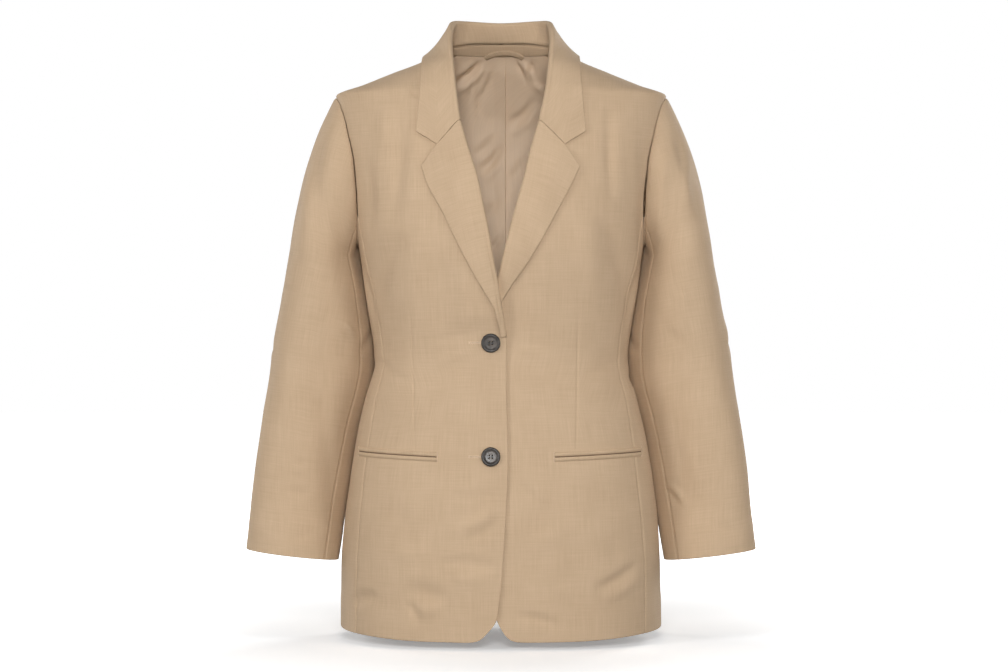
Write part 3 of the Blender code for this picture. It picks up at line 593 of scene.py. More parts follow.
def spaced_rows(edges_at, last, bands=(), spacing=SPACING):
    """Row numbers from 0 to last, so chosen that the rows between the edges lie evenly apart."""
    trial = np.linspace(0, last, 600)
    mean = sum(lengths_along(edge(trial)) for edge in edges_at) / len(edges_at)
    return np.interp(stations(mean[-1], spacing, bands) * mean[-1], mean, trial)


# The body form ---------------------------------------------------------------------------------------------------


def sided(points, side):
    """A piece's points in the part's frame instead of its own. side is 1 for the wearer's left."""
    return points * np.array((side, 1, 1))


def form_depth(in_front, height):
    """The form's reach from its widest line to the front, or else to the back."""
    middle = FORM_AT["middle"](height)
    return np.where(in_front, FORM_AT["front"](height) + middle, FORM_AT["back"](height) - middle)


def spread(points):
    """How far out each point is, as a fraction of the form's section at its height: 1 is on the form."""
    x, y, z = np.moveaxis(points, -1, 0)
    power, middle = FORM_AT["fullness"](z), FORM_AT["middle"](z)
    across = np.abs(x) / FORM_AT["half_width"](z)
    along = np.abs(y - middle) / form_depth(y < middle, z)
    return (across**power + along**power) ** (1 / power)


def spread_rate(points, step=0.5):
    """The gradient of spread, by central differences."""
    moves = np.eye(3) * step
    return np.stack([(spread(points + move) - spread(points - move)) / (2 * step) for move in moves], axis=-1)


def outward(points):
    return unit(spread_rate(points))


def moved_out(points, distance):
    return points + outward(points) * (distance + np.zeros(points.shape[:-1]))[..., None]


def set_distance(points, distance, hold=1.0):
    """The points moved along the form's normals to this distance from it. Where hold is 0 they only move out."""
    for _ in range(4):
        rate = spread_rate(points)
        steepness = np.maximum(np.linalg.norm(rate, axis=-1), 1e-6)
        missing = distance - (spread(points) - 1) / steepness
        missing = np.where(missing > 0, missing, missing * hold)
        points = points + unit(rate) * missing[..., None]
        hold = hold if np.ndim(hold) == 0 else np.where(hold > 0.999, hold, 0.0)
    return points


def on_form(angle, height, out=0.0):
    """A point at this angle round the form, in degrees from the centre front, and this height."""
    angle, height = np.broadcast_arrays(np.radians(angle), np.asarray(height, float))
    power = FORM_AT["fullness"](height)
    across, along = np.sin(angle), np.cos(angle)
    reach = (np.abs(across) ** power + np.abs(along) ** power) ** (-1 / power)
    y = FORM_AT["middle"](height) - form_depth(along > 0, height) * reach * along
    return moved_out(np.stack([FORM_AT["half_width"](height) * reach * across, y, height], -1), out)


def on_face(x, height, out=0.0, face="front"):
    """A point on the front or back of the form, straight in or out of (x, height) as seen from the front."""
    x, height = np.broadcast_arrays(np.asarray(x, float), np.asarray(height, float))
    power = FORM_AT["fullness"](height)
    across = np.clip(np.abs(x) / FORM_AT["half_width"](height), 0, 1)
    reach = (1 - across**power) ** (1 / power) * form_depth(face == "front", height)
    y = FORM_AT["middle"](height) - reach * (1 if face == "front" else -1)
    return moved_out(np.stack([x, y, height], -1), out)


def armhole(turn):
    """The armhole seam on the form. A turn of 0 is its top, 90 its front, 180 the underarm."""
    turn = np.radians(np.asarray(turn, float))
    height = ARMHOLE_MIDDLE + ARMHOLE_RISE * np.cos(turn)
    forward = np.sin(turn) * np.where(np.sin(turn) > 0, ARMHOLE_FORWARD, ARMHOLE_BACKWARD)
    power = FORM_AT["fullness"](height)
    share = (1 - (np.abs(forward) / form_depth(forward > 0, height)) ** power) ** (1 / power)
    return np.stack([FORM_AT["half_width"](height) * share, FORM_AT["middle"](height) - forward, height], -1)


def angle_of(points):
    """The angle round the form of points that lie on it."""
    x, y, z = np.moveaxis(points, -1, 0)
    middle = FORM_AT["middle"](z)
    return np.degrees(np.arctan2(x / FORM_AT["half_width"](z), (middle - y) / form_depth(y < middle, z)))


def hem_between(first, last, across):
    """The hem line between two points that lie on it."""
    start, end = angle_of(first), angle_of(last)
    angle = start + across * (end - start)
    return on_form(angle, HEM_AT(angle))


# Panels of the body ----------------------------------------------------------------------------------------------


def seam_line(name):
    """A side seam, as a function of its row number from the hem to the armhole."""
    top = armhole(UNDERARM_ENDS[name])
    end = (float(top[2]), float(angle_of(top)), float(angle_of(top)))
    angle_at = smooth_table(SIDE_SEAMS + (end,), SIDE_SEAM_COLUMNS, name)
    foot = float(HEM_AT(HEM_ANGLES[name]))

    def seam(row):
        height = foot + np.asarray(row, float) / LOWER_ROWS * (top[2] - foot)
        return on_form(angle_at(height), height)

    return seam


def up_to_shoulder(name, turns):
    """The outer edge of a front or back: its side seam, and then the armhole."""
    seam, turn_at = seam_line(name), by_row(turns)

    def edge(row):
        below = seam(np.minimum(row, LOWER_ROWS))
        above = armhole(turn_at(np.maximum(row - LOWER_ROWS, 0)))
        return np.where((row <= LOWER_ROWS)[:, None], below, above)

    return edge


def stretched(bottom, top, inner, outer, across, up, fade):
    """A grid laid on the form between four edges. What the bottom and top have beside a straight line fades away."""
    across, up = across[None, :, None], up[:, None, None]
    rows = (1 - across) * inner[:, None] + across * outer[:, None]
    low = bottom[None] - (1 - across) * bottom[0] - across * bottom[-1]
    high = top[None] - (1 - across) * top[0] - across * top[-1]
    points = set_distance(rows + low * (1 - up) ** fade + high * up**fade, 0.0)
    points[0], points[-1], points[:, 0], points[:, -1] = bottom, top, inner, outer
    return points


def front_out(hand, x, height):
    """How far out a front lies: the right one over the left one where they lap, and both apart at the break."""
    above = 1 - ease(height, -300, -235)
    if hand == "right":
        step = LAP_STEP + BREAK_STEP_OVER * ease(height, -350, -322) * above
        return step * (1 - ease(x, LAP_FROM, LAP_TO))
    step = BREAK_STEP_UNDER * ease(height, -390, -352) * above - LAP_STEP
    return step * (1 - ease(x, UNDER_LAP_FROM, UNDER_LAP_TO))


def shoulder_seam(across):
    return on_form(90, NECK_HEIGHT + across * (SHOULDER_HEIGHT - NECK_HEIGHT))


def front_points(hand, rows, across):
    height_at = by_row(FRONT_EDGE_ROWS)
    heights = height_at(rows)
    inner = on_face(EDGE_AT[hand](heights), heights)
    outer = up_to_shoulder("front_seam", FRONT_TURNS[::-1])(rows)
    bottom = hem_between(inner[0], outer[0], across)
    bottom[:, 2] += CORNER_AT(bottom[:, 0] - inner[0, 0])
    bottom[-1], inner[0] = outer[0], bottom[0]
    top = shoulder_seam(across)
    inner[-1] = top[0]
    points = stretched(bottom, top, inner, outer, across, rows / rows[-1], 5)
    return moved_out(points, front_out(hand, points[..., 0], points[..., 2]))


def dart_line(hand, height):
    """The x of a front's dart, and how much of the dart is there: none above and below its ends."""
    x0, top, x1, bottom = DARTS[hand]
    share = (height - top) / (bottom - top)
    return x0 + share * (x1 - x0), ease(height, bottom, bottom + 8) * (1 - ease(height, top - 25, top))


def front_grid(hand):
    """From the front edge, roll line and neckline, out to the side seam and the armhole, with its dart sunk in."""
    last = len(FRONT_EDGE_ROWS) - 1
    trial_across = np.linspace(0, 1, 60)
    trial = front_points(hand, np.linspace(0, last, 90), trial_across)
    shares = []
    for row in trial:
        x, depth = dart_line(hand, row[0, 2])
        if depth > 0:
            shares.append(np.interp(x, row[:, 0], trial_across) * FRONT_WIDTH)
    band = ((min(shares) + max(shares)) / 2, (max(shares) - min(shares)) / 2 + 3 * DART_WIDTH, DART_STEP)
    lengths = lengths_along(trial[:, 0]) / 2 + lengths_along(trial[:, -1]) / 2
    wanted = stations(FRONT_LENGTH) * lengths[-1]
    rows = np.interp(wanted, lengths, np.linspace(0, last, 90))
    points = front_points(hand, rows, stations(FRONT_WIDTH, bands=(band,)))
    x, depth = dart_line(hand, points[..., 2])
    return moved_out(points, -DART_DEPTH * depth * np.exp(-(((points[..., 0] - x) / DART_WIDTH) ** 2)))


def back_grid():
    """From the centre back and the neckline, out to the side seam and the armhole; the shoulder seam is on top."""
    outer_at = up_to_shoulder("back_seam", BACK_TURNS[::-1])
    below = HEM_AT(180) + np.linspace(0, 1, LOWER_ROWS + 1) * (CENTRE_BACK_ROWS[0] - HEM_AT(180))
    height_at = by_row(np.concatenate([below, CENTRE_BACK_ROWS[1:]]))
    neck_row = LOWER_ROWS + len(CENTRE_BACK_ROWS) - 1
    angle_at = by_row((180,) + BACK_NECK_ANGLES)
    last = neck_row + len(BACK_NECK_ANGLES)

    def inner_at(row):
        neck_angle = angle_at(np.maximum(row - neck_row, 0))
        rise = NECK_HEIGHT - CENTRE_BACK_NECK
        neckline = on_form(neck_angle, CENTRE_BACK_NECK + rise * ((180 - neck_angle) / 90) ** 2)
        centre = on_face(0, height_at(np.minimum(row, neck_row)), face="back")
        return np.where((row <= neck_row)[:, None], centre, neckline)

    rows = spaced_rows((inner_at, outer_at), last)
    across = stations(BACK_WIDTH)
    inner, outer = inner_at(rows), outer_at(rows)
    bottom = hem_between(inner[0], outer[0], across)
    return stretched(bottom, shoulder_seam(across), inner, outer, across, rows / last, 5)


def side_grid():
    """From the front's side seam round to the back's, with the lower end of the armhole on top."""
    seams = seam_line("front_seam"), seam_line("back_seam")
    rows = spaced_rows(seams, LOWER_ROWS)
    inner, outer = (seam(rows) for seam in seams)
    share = stations(SIDE_WIDTH)
    top = armhole(UNDERARM_ENDS["front_seam"] + share * (UNDERARM_ENDS["back_seam"] - UNDERARM_ENDS["front_seam"]))
    across = (angle_of(top) - angle_of(top[0])) / (angle_of(top[-1]) - angle_of(top[0]))
    bottom = hem_between(inner[0], outer[0], across)
    return stretched(bottom, top, inner, outer, across, rows / LOWER_ROWS, 3)


# Sleeves ---------------------------------------------------------------------------------------------------------


def cap_direction(turn):
    """The way the sleeve leaves the armhole."""
    s, c = np.sin(np.radians(turn)), np.cos(np.radians(turn))
    low = (1 - c) / 2
    return unit(np.stack([0.50 + 0.32 * s**2 - 0.22 * low, -0.35 * s, -0.87 + 0.35 * s**2 - 0.1 * low], -1))


def cap_start(turn):
    """The armhole seam, moved out along the sleeve until the two walls clear each other."""
    seam = armhole(turn)
    way = cap_direction(turn)
    along = unit(armhole(turn + 1) - armhole(turn - 1))
    into_panel = unit(np.cross(outward(seam), along))
    from_middle = seam - armhole(np.array((0.0, 180.0))).mean(axis=0)
    into_panel *= np.sign((into_panel * from_middle).sum(-1, keepdims=True))
    lean = (way * into_panel).sum(-1, keepdims=True)
    square = unit(way - into_panel * lean)
    bend = np.arccos(np.clip(-lean, -1, 1))
    sharp = seam + square * (UNDERARM_CLEAR * lean + SEAM_GAP * (1 - lean) + CLOTH / 2 * (1 + lean))
    wide = seam + way * (SEAM_GAP + CLOTH / 2 * np.tan(np.minimum(bend, math.pi / 2) / 2))
    return np.where(lean > 0, sharp, wide)


def sleeve_ring(turn, height):
    turn = np.radians(turn)
    tilted = np.array((math.cos(SLEEVE_TILT), 0, math.sin(SLEEVE_TILT)))
    centre = np.array((SLEEVE_AT["centre_x"](height), SLEEVE_AT["centre_y"](height), height))
    sideways = SLEEVE_AT["half_width"](height) * np.cos(turn)[:, None] * tilted
    back = SLEEVE_AT["inner_back"](height) * (1 - np.cos(turn)) / 2 - SLEEVE_AT["half_depth"](height) * np.sin(turn)
    return centre + sideways + back[:, None] * np.array((0, 1, 0))


def sleeve_grid(from_turn, to_turn):
    """Rings from the cuff up to the armhole: the sections, and then the cap."""
    turns = from_turn + stations((to_turn - from_turn) * 1.05) * (to_turn - from_turn)
    underarm, cuff = SLEEVE[0][0], SLEEVE[-1][0]
    start, end = cap_start(turns), sleeve_ring(turns, underarm)
    reach = np.linalg.norm(end - start, axis=-1, keepdims=True)
    leaving = cap_direction(turns) * reach * 0.8
    arriving = np.array((math.sin(SLEEVE_TILT), 0, -math.cos(SLEEVE_TILT))) * reach
    down = stations(CAP_LENGTH)
    rings = [hermite(t, start, end, leaving, arriving) for t in down[down < 0.97]]
    below = stations(underarm - cuff)
    below = below[(below == 0) | (below > 0.01)]
    rings += [sleeve_ring(turns, underarm + share * (cuff - underarm)) for share in below]
    return np.stack(rings[::-1])


# Collar and lapels -----------------------------------------------------------------------------------------------


def turned_rows(fold, edge, foot, notch_share, notch, lie, hold):
    """Rows of turned cloth from its foot, over the fold, to its free edge. At the gorge it bends at the notch."""
    heading = fold + (edge - fold) * 0.5
    heading = heading + notch_share[:, None] * (notch - heading)
    down = unit(unit(heading - fold) + unit(foot - fold))
    out = outward(fold)
    out = unit(out - down * (out * down).sum(-1, keepdims=True))
    centre = fold + down * FOLD_RADIUS
    arc = [
        centre + FOLD_RADIUS * (out * math.sin(math.radians(a)) - down * math.cos(math.radians(a)))
        for a in np.linspace(-90, 90, 13)
    ]
    rows = [foot + (arc[0] - foot) * share for share in (0, 0.06, 0.2, 0.4, 0.6, 0.8)] + arc
    for t in leg_stations():
        straight = arc[-1] + (edge - arc[-1]) * t
        bend = min(2 * t, 2 - 2 * t)
        middle = arc[-1] + (edge - arc[-1]) * 0.5
        leg = straight + (bend * notch_share)[:, None] * (notch - middle)
        rows.append(set_distance(leg, lie(leg, t), hold))
    return np.stack(rows)


def leg_stations():
    """Places across a lapel or collar leaf, with one at its middle, where the notch is, and some close to its edge."""
    even = list(np.linspace(0, 1, 27)[1:-1])
    return sorted(even + [0.5 - 0.012, 0.5 + 0.012, 0.975, 0.988, 0.995, 1.0])


def along_stations(count, first, last):
    """Places from 0 to 1, closer at the ends that are free or seamed."""
    even = list(np.linspace(0, 1, count))
    close = [0.003, 0.008, 0.014] if first else []
    close += [0.997, 0.992, 0.986] if last else []
    return np.array(sorted(even + close))


def gorge_section(hand):
    """Fold, notch and foot where collar and lapel are joined."""
    x = float(ROLL_AT[hand](GORGE_HEIGHT))
    fold = on_face(x, GORGE_HEIGHT, front_out(hand, x, GORGE_HEIGHT) + LEG_OUT - FOLD_RADIUS)
    notch = on_face(NOTCH[0], NOTCH[1], LEG_OUT)
    foot = on_face(GORGE_FOOT[0], GORGE_FOOT[1], LEG_IN)
    return fold, notch, foot


def lapel_grid(hand):
    along = along_stations(90, True, True)
    fold_height = LAPEL_BOTTOM + along * (GORGE_HEIGHT - LAPEL_BOTTOM)
    fold_x = ROLL_AT[hand](fold_height)
    edge_height = LAPEL_EDGE_BOTTOM + along * (LAPEL_EDGE[-1][0] - LAPEL_EDGE_BOTTOM)
    edge_x = np.maximum(LAPEL_EDGE_AT[hand](edge_height), fold_x + FOLD_RADIUS + 3)
    foot_x = fold_x + 8 + (GORGE_FOOT[0] - fold_x[-1] - 8) * along**2
    foot_height = fold_height + (GORGE_FOOT[1] - GORGE_HEIGHT) * along**4
    level = LEG_OUT - LAPEL_END_SINK * (1 - ease(fold_height, LAPEL_BOTTOM, LAPEL_BOTTOM + LAPEL_END))
    fold = on_face(fold_x, fold_height, front_out(hand, fold_x, fold_height) + level - FOLD_RADIUS)
    foot = on_face(foot_x, foot_height, front_out(hand, foot_x, foot_height) + LEG_IN)
    edge = on_face(edge_x, edge_height, LEG_OUT)
    _, notch, foot[-1] = gorge_section(hand)

    def lie(points, t):
        spring = LAPEL_SPRING * np.sin(np.pi * t) * np.sin(np.pi * along)
        return front_out(hand, points[:, 0], points[:, 2]) + level + spring

    return turned_rows(fold, edge, foot, along**6, notch, lie, 1.0)


def collar_half(hand):
    """One half of the collar, from its front end to the centre back, as rows from foot to free edge."""
    share = along_stations(70, True, False)
    table = np.array(COLLAR, float).reshape(len(COLLAR), 3, 3)
    fold, edge, foot = (along_curve(table[:, part], share * (len(COLLAR) - 1)) for part in range(3))
    on_chest = 1 - ease(share, 0.25, 0.5)
    at_front = 1 - ease(share, 0, 0.25)
    gorge_fold, notch, gorge_foot = gorge_section(hand)
    fold = fold + (gorge_fold - fold[0]) * at_front[:, None]
    foot = foot + (gorge_foot - foot[0]) * (1 - ease(share, 0, 0.1))[:, None]
    foot = level_with_form(foot, LEG_IN + (NECK_LEG_IN - LEG_IN) * ease(share, 0.05, 0.3))

    def lie(points, t):
        lapped = front_out(hand, points[:, 0], points[:, 2]) * at_front
        return lapped + LEG_OUT + (COLLAR_SPRING * np.sin(np.pi * t) + COLLAR_LIFT * t) * (1 - at_front)

    return turned_rows(fold, edge, foot, 1 - ease(share, 0, 0.16), notch, lie, on_chest)


def along_curve(points, wanted):
    """Points along a smooth curve through a table's rows, level where it crosses the centre."""
    whole = np.concatenate([points, sided(points[-2::-1], -1)])
    at = np.clip(wanted.astype(int), 0, len(whole) - 2)
    t = (wanted - at)[:, None]
    rates = np.gradient(whole, axis=0)
    return hermite(t, whole[at], whole[at + 1], rates[at], rates[at + 1])


def level_with_form(points, out):
    """The points moved level, towards or from the form's middle, onto the form, and then out."""
    middle = np.zeros(points.shape)
    middle[:, 1] = FORM_AT["middle"](points[:, 2])
    middle[:, 2] = points[:, 2]
    return moved_out(middle + (points - middle) / spread(points)[:, None], out)


def collar_grid():
    right = sided(collar_half("right"), -1)
    return np.concatenate([right, collar_half("left")[:, -2::-1]], axis=1)


# Trim ------------------------------------------------------------------------------------------------------------


def pocket_line(hand, along):
    """The middle of a pocket's slit, as x and height in the front's own frame."""
    x0, z0, x1, z1 = POCKETS[hand]
    return x0 + along * (x1 - x0), z0 + along * (z1 - z0)


def welt_grid(hand, part):
    """A folded strip, sewn down along its outer edge and rolled to a soft lip along the slit."""
    x, middle = pocket_line(hand, stations(100, 1.6))
    sign = 1 if part == "upper" else -1
    rows = []
    for share in np.linspace(0, 1, 12):
        offset = WELT_SLIT * 0.6 + share * (WELT_WIDTH - WELT_SLIT * 0.1)
        rise = WELT_OUT * (0.62 + 0.38 * math.sin(math.pi * min(share * 1.25, 1))) - 1.15 * max(0, share - 0.72) / 0.28
        rows.append(on_face(x, middle + sign * offset, rise))
    return np.stack(rows)


def pocket_mouth_grid(hand):
    """The pocket lining that shows in the slit, coloured dark as painted shade."""
    x, middle = pocket_line(hand, np.linspace(0.004, 0.996, 50))
    return np.stack([on_face(x, middle + offset, POCKET_MOUTH_OUT) for offset in (-2, 0, 2)])


def facing_grid():
    """The band inside the back of the neck, from side to side below the collar."""
    x = (stations(2 * FACING_REACH, 2.5) * 2 - 1) * FACING_REACH
    top = CENTRE_BACK_NECK - 0.6 - 6.5 * (x / FACING_REACH) ** 2
    return np.stack([on_face(x, FACING_BOTTOM + (top - FACING_BOTTOM) * share, FACING_OUT, "back")
                     for share in stations(12, 1.5)])


def lining_grid():
    """The back lining, with a pleat down its middle whose edge faces the wearer's left."""
    top = FACING_BOTTOM - LINING_TOP_BAND
    heights = LINING_HEM + stations(top - LINING_HEM, 3.5) * (top - LINING_HEM)
    half = LINING_AT(heights)[:, None]
    fold_back, fold_end = PLEAT_X - PLEAT_WIDTH, PLEAT_X + 1.3
    right, left = stations(130, 3.5), stations(130, 3.5)[1:]
    fold = np.linspace(0, 1, 8)[1:-1]
    steps = PLEAT_X + np.array((0, 0.45, 0.9))
    pleat = np.concatenate([fold_back + (PLEAT_X - fold_back) * fold, steps, [fold_end]])
    x = np.concatenate([
        -half + (fold_back + half) * right, pleat + 0 * half, fold_end + (half - fold_end) * left
    ], axis=1)
    lift = np.interp(x, (fold_back, *steps, fold_end), (0, 1, 0.93, 0.2, 0))
    fade = ease(-heights, -2, 22) * (1 - 0.6 * ease(-heights, 120, 400))
    out = LINING_OUT[0] + (LINING_OUT[1] - LINING_OUT[0]) * ease(-heights, -5, 18)
    return on_face(x, heights[:, None], out[:, None] - PLEAT_DEPTH * lift * fade[:, None], "back")


def loop_grid():
    """The hanger loop: a rounded tape that arches up from the seam below the facing."""
    along = np.linspace(0, 1, 40)
    x = LOOP_ENDS[0] + along * (LOOP_ENDS[1] - LOOP_ENDS[0])
    middle = FACING_BOTTOM - 2.2 + LOOP_RISE * np.sin(np.pi * along) ** 0.6
    slope = np.gradient(middle, x)
    across = unit(np.stack([-slope, np.ones(len(x))], -1)) * LOOP_WIDTH / 2
    out = LOOP_OUT - 1.2 * np.sin(np.pi * along)
    return np.stack([on_face(x + share * across[:, 0], middle + share * across[:, 1], out, "back")
                     for share in np.linspace(-1, 1, 13)])


# Creases and edges -----------------------------------------------------------------------------------------------


def facing_share(side, normals):
    """How much a surface faces one side of the blazer."""
    axis, sign = {"front": (1, -1), "back": (1, 1), "right": (0, -1), "left": (0, 1)}[side]
    return ease(normals[..., axis] * sign, 0.12, 0.55)


def creased(points, normals, creases):
    """How far each point lies out because of the creases: a ridge or trough, with a softer opposite beside it."""
    total = np.zeros(points.shape[:-1])
    for side, rows in creases.items():
        across = points[..., 0] if side in ("front", "back") else points[..., 1]
        facing = facing_share(side, normals)
        for a0, z0, a1, z1, bow, width, height in rows:
            length = math.hypot(a1 - a0, z1 - z0)
            way_a, way_z = (a1 - a0) / length, (z1 - z0) / length
            t = np.clip(((across - a0) * way_a + (points[..., 2] - z0) * way_z) / length, 0, 1)
            off = (points[..., 2] - z0) * way_a - (across - a0) * way_z - bow * 4 * t * (1 - t)
            off = off / (width * CREASE_SPREAD)
            shape = np.exp(-(off**2)) - 0.4 * np.exp(-(((off - 1.8) / 1.3) ** 2))
            total += height * np.sin(np.pi * t) ** 0.8 * np.where((t > 0) & (t < 1), shape, 0) * facing
    return total * CREASE_STRENGTH


def rumple_waves():
    """Directions, lengths and starts of the waves that keep the cloth from lying dead smooth."""
    draw = np.random.default_rng(RUMPLE_SEED)
    ways = unit(draw.normal(size=(RUMPLE_WAVES, 3)) * np.array((1.0, 1.0, 0.55)))
    lengths = RUMPLE_LENGTHS[0] * (RUMPLE_LENGTHS[1] / RUMPLE_LENGTHS[0]) ** draw.uniform(size=RUMPLE_WAVES)
    return ways, lengths, draw.uniform(0, 2 * math.pi, RUMPLE_WAVES)


WAVES = rumple_waves()


def rumpled(points):
    total = np.zeros(points.shape[:-1])
    for way, length, start in zip(*WAVES):
        total += np.sin(points @ way * 2 * math.pi / length + start) * (length / RUMPLE_LENGTHS[1]) ** 0.7
    return total * RUMPLE_HEIGHT / math.sqrt(RUMPLE_WAVES / 2)


def edge_distances(grid):
    """The distance of each point from the first and last row and the first and last column, along the cloth."""
    up = np.linalg.norm(np.diff(grid, axis=0), axis=-1)
    over = np.linalg.norm(np.diff(grid, axis=1), axis=-1)
    from_bottom = np.concatenate([np.zeros((1, grid.shape[1])), np.cumsum(up, axis=0)])
    from_first = np.concatenate([np.zeros((grid.shape[0], 1)), np.cumsum(over, axis=1)], axis=1)
    return {"bottom": from_bottom, "top": from_bottom[-1:] - from_bottom,
            "first": from_first, "last": from_first[:, -1:] - from_first}


def sewn(far, seams, pucker=1.0):
    """How far the cloth dips and puckers at its seams."""
    total = np.zeros(far["first"].shape)
    for number, name in enumerate(seams):
        along = far["bottom"] if name in ("first", "last") else far["first"]
        total -= SEAM_DIP * np.exp(-((far[name] / SEAM_REACH) ** 2))
        wave = sum(np.sin(2 * math.pi * along / length + 1.7 * number) for length in PUCKER_LENGTHS)
        total += pucker * PUCKER / 2 * wave * np.exp(-far[name] / PUCKER_REACH)
    return total


def thinned(far, free):
    """The share of the wall's thickness that is left near its free edges, which are round."""
    share = np.ones(far["first"].shape)
    for name in free:
        t = np.clip(far[name] / EDGE_ROUND, 0, 1)
        share = np.minimum(share, np.sqrt(1 - (1 - t) ** 2) * 0.86 + 0.14)
    return share


def trimmed(grid, gap=SEAM_GAP / 2):
    """The grid with each edge drawn in by half of a seam's gap."""
    grid = grid.copy()
    for turns in range(4):
        edge = np.rot90(grid, turns)
        inward = unit(edge[1] - edge[0])
        along = unit(np.gradient(edge[0], axis=0))
        lean = np.linalg.norm(np.cross(inward, along), axis=-1, keepdims=True)
        edge[0] += inward * gap / np.maximum(lean, 0.4)
    return grid


def grid_normals(grid, middle=None):
    """Normals of a grid of points, pointing away from its middle."""
    normals = unit(np.cross(np.gradient(grid, axis=1), np.gradient(grid, axis=0)))
    middle = grid.mean(axis=(0, 1)) if middle is None else middle
    return normals * np.sign(((grid - middle) * normals).sum())


# Blender objects -------------------------------------------------------------------------------------------------


def linked(name, data):
    """A new object in the scene."""
    thing = bpy.data.objects.new(name, data)
    bpy.context.scene.collection.objects.link(thing)
    return thing


def mesh_of(name, shape):
    """A new mesh from a bmesh, which is used up."""
    mesh = bpy.data.meshes.new(name)
    shape.to_mesh(mesh)
    shape.free()
    return mesh


def wall_mesh(name, points, faces, finish):
    """A smooth mesh of closed walls, from points in millimetres, with its faces turned outwards."""
    mesh = bpy.data.meshes.new(name)
    mesh.from_pydata((points * MM).tolist(), [], faces)
    shape = bmesh.new()
    shape.from_mesh(mesh)
    bmesh.ops.recalc_face_normals(shape, faces=shape.faces)
    shape.to_mesh(mesh)
    shape.free()
    mesh.shade_smooth()
    mesh.materials.append(finish)
    return mesh


def shell(name, grid, normals, half, finish, nodes, upright=False):
    """A closed wall of cloth round a grid of points. The attribute grain holds each point's place on the cloth.

    On an upright piece the threads run level and straight down, whatever its edges do.
    """
    rows, columns = grid.shape[:2]
    count = rows * columns
    sides = [grid + normals * half[..., None], grid - normals * half[..., None]]
    points = np.concatenate([side.reshape(-1, 3) for side in sides])
    index = np.arange(count).reshape(rows, columns)
    quads = np.stack([index[:-1, :-1], index[:-1, 1:], index[1:, 1:], index[1:, :-1]], -1).reshape(-1, 4)
    rim = np.concatenate([index[0, :-1], index[:-1, -1], index[-1, :0:-1], index[:0:-1, 0]])
    after = np.roll(rim, -1)
    edges = np.stack([rim, rim + count, after + count, after], -1)
    mesh = wall_mesh(name, points, np.concatenate([quads, quads[:, ::-1] + count, edges]).tolist(), finish)
    mesh.set_sharp_from_angle(angle=math.radians(50))
    far = edge_distances(grid)
    offset = len(bpy.data.objects) * 0.137
    along, up = far["first"], far["bottom"]
    if upright:
        way = np.sign(grid[0, -1, 0] - grid[0, 0, 0])
        along, up = grid[:, :1, 0] * way + along, grid[..., 2]
    place = np.stack([along * MM + offset, up * MM + offset, np.zeros(along.shape)], -1)
    grain = mesh.attributes.new("grain", "FLOAT_VECTOR", "POINT")
    grain.data.foreach_set("vector", np.tile(place.reshape(-1, 3), (2, 1)).astype(np.float32).ravel())
    return placed(name, mesh, nodes)


def placed(name, mesh, nodes=(), place=None):
    """A new piece on the part's only body."""
    piece = linked(name, mesh)
    if place:
        piece.matrix_world = place
        bpy.context.view_layer.update()
    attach(piece, "root")
    if nodes:
        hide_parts(*nodes)
    return piece


def tubes(name, paths, radius, finish, sides=6):
    """Many short threads in one mesh: a closed tube round each path of points."""
    points, faces = [], []
    for path in paths:
        path = np.asarray(path, float)
        way = unit(np.gradient(path, axis=0))
        side = unit(np.cross(way, np.array((0.123, 0.97, 0.21))))
        up = np.cross(side, way)
        first = len(points)
        for centre, a, b, place in zip(path, side, up, np.linspace(-1, 1, len(path))):
            size = radius * (1 - 0.35 * abs(place) ** 4)
            for turn in np.arange(sides) * 2 * math.pi / sides:
                points.append(centre + size * (a * math.cos(turn) + b * math.sin(turn)))
        for ring in range(len(path) - 1):
            for corner in range(sides):
                here, following = first + ring * sides, (corner + 1) % sides
                faces.append((here + corner, here + following, here + sides + following, here + sides + corner))
        faces.append(tuple(first + corner for corner in range(sides))[::-1])
        faces.append(tuple(first + (len(path) - 1) * sides + corner for corner in range(sides)))
    return placed(name, wall_mesh(name, np.array(points), faces, finish))


# Materials -------------------------------------------------------------------------------------------------------


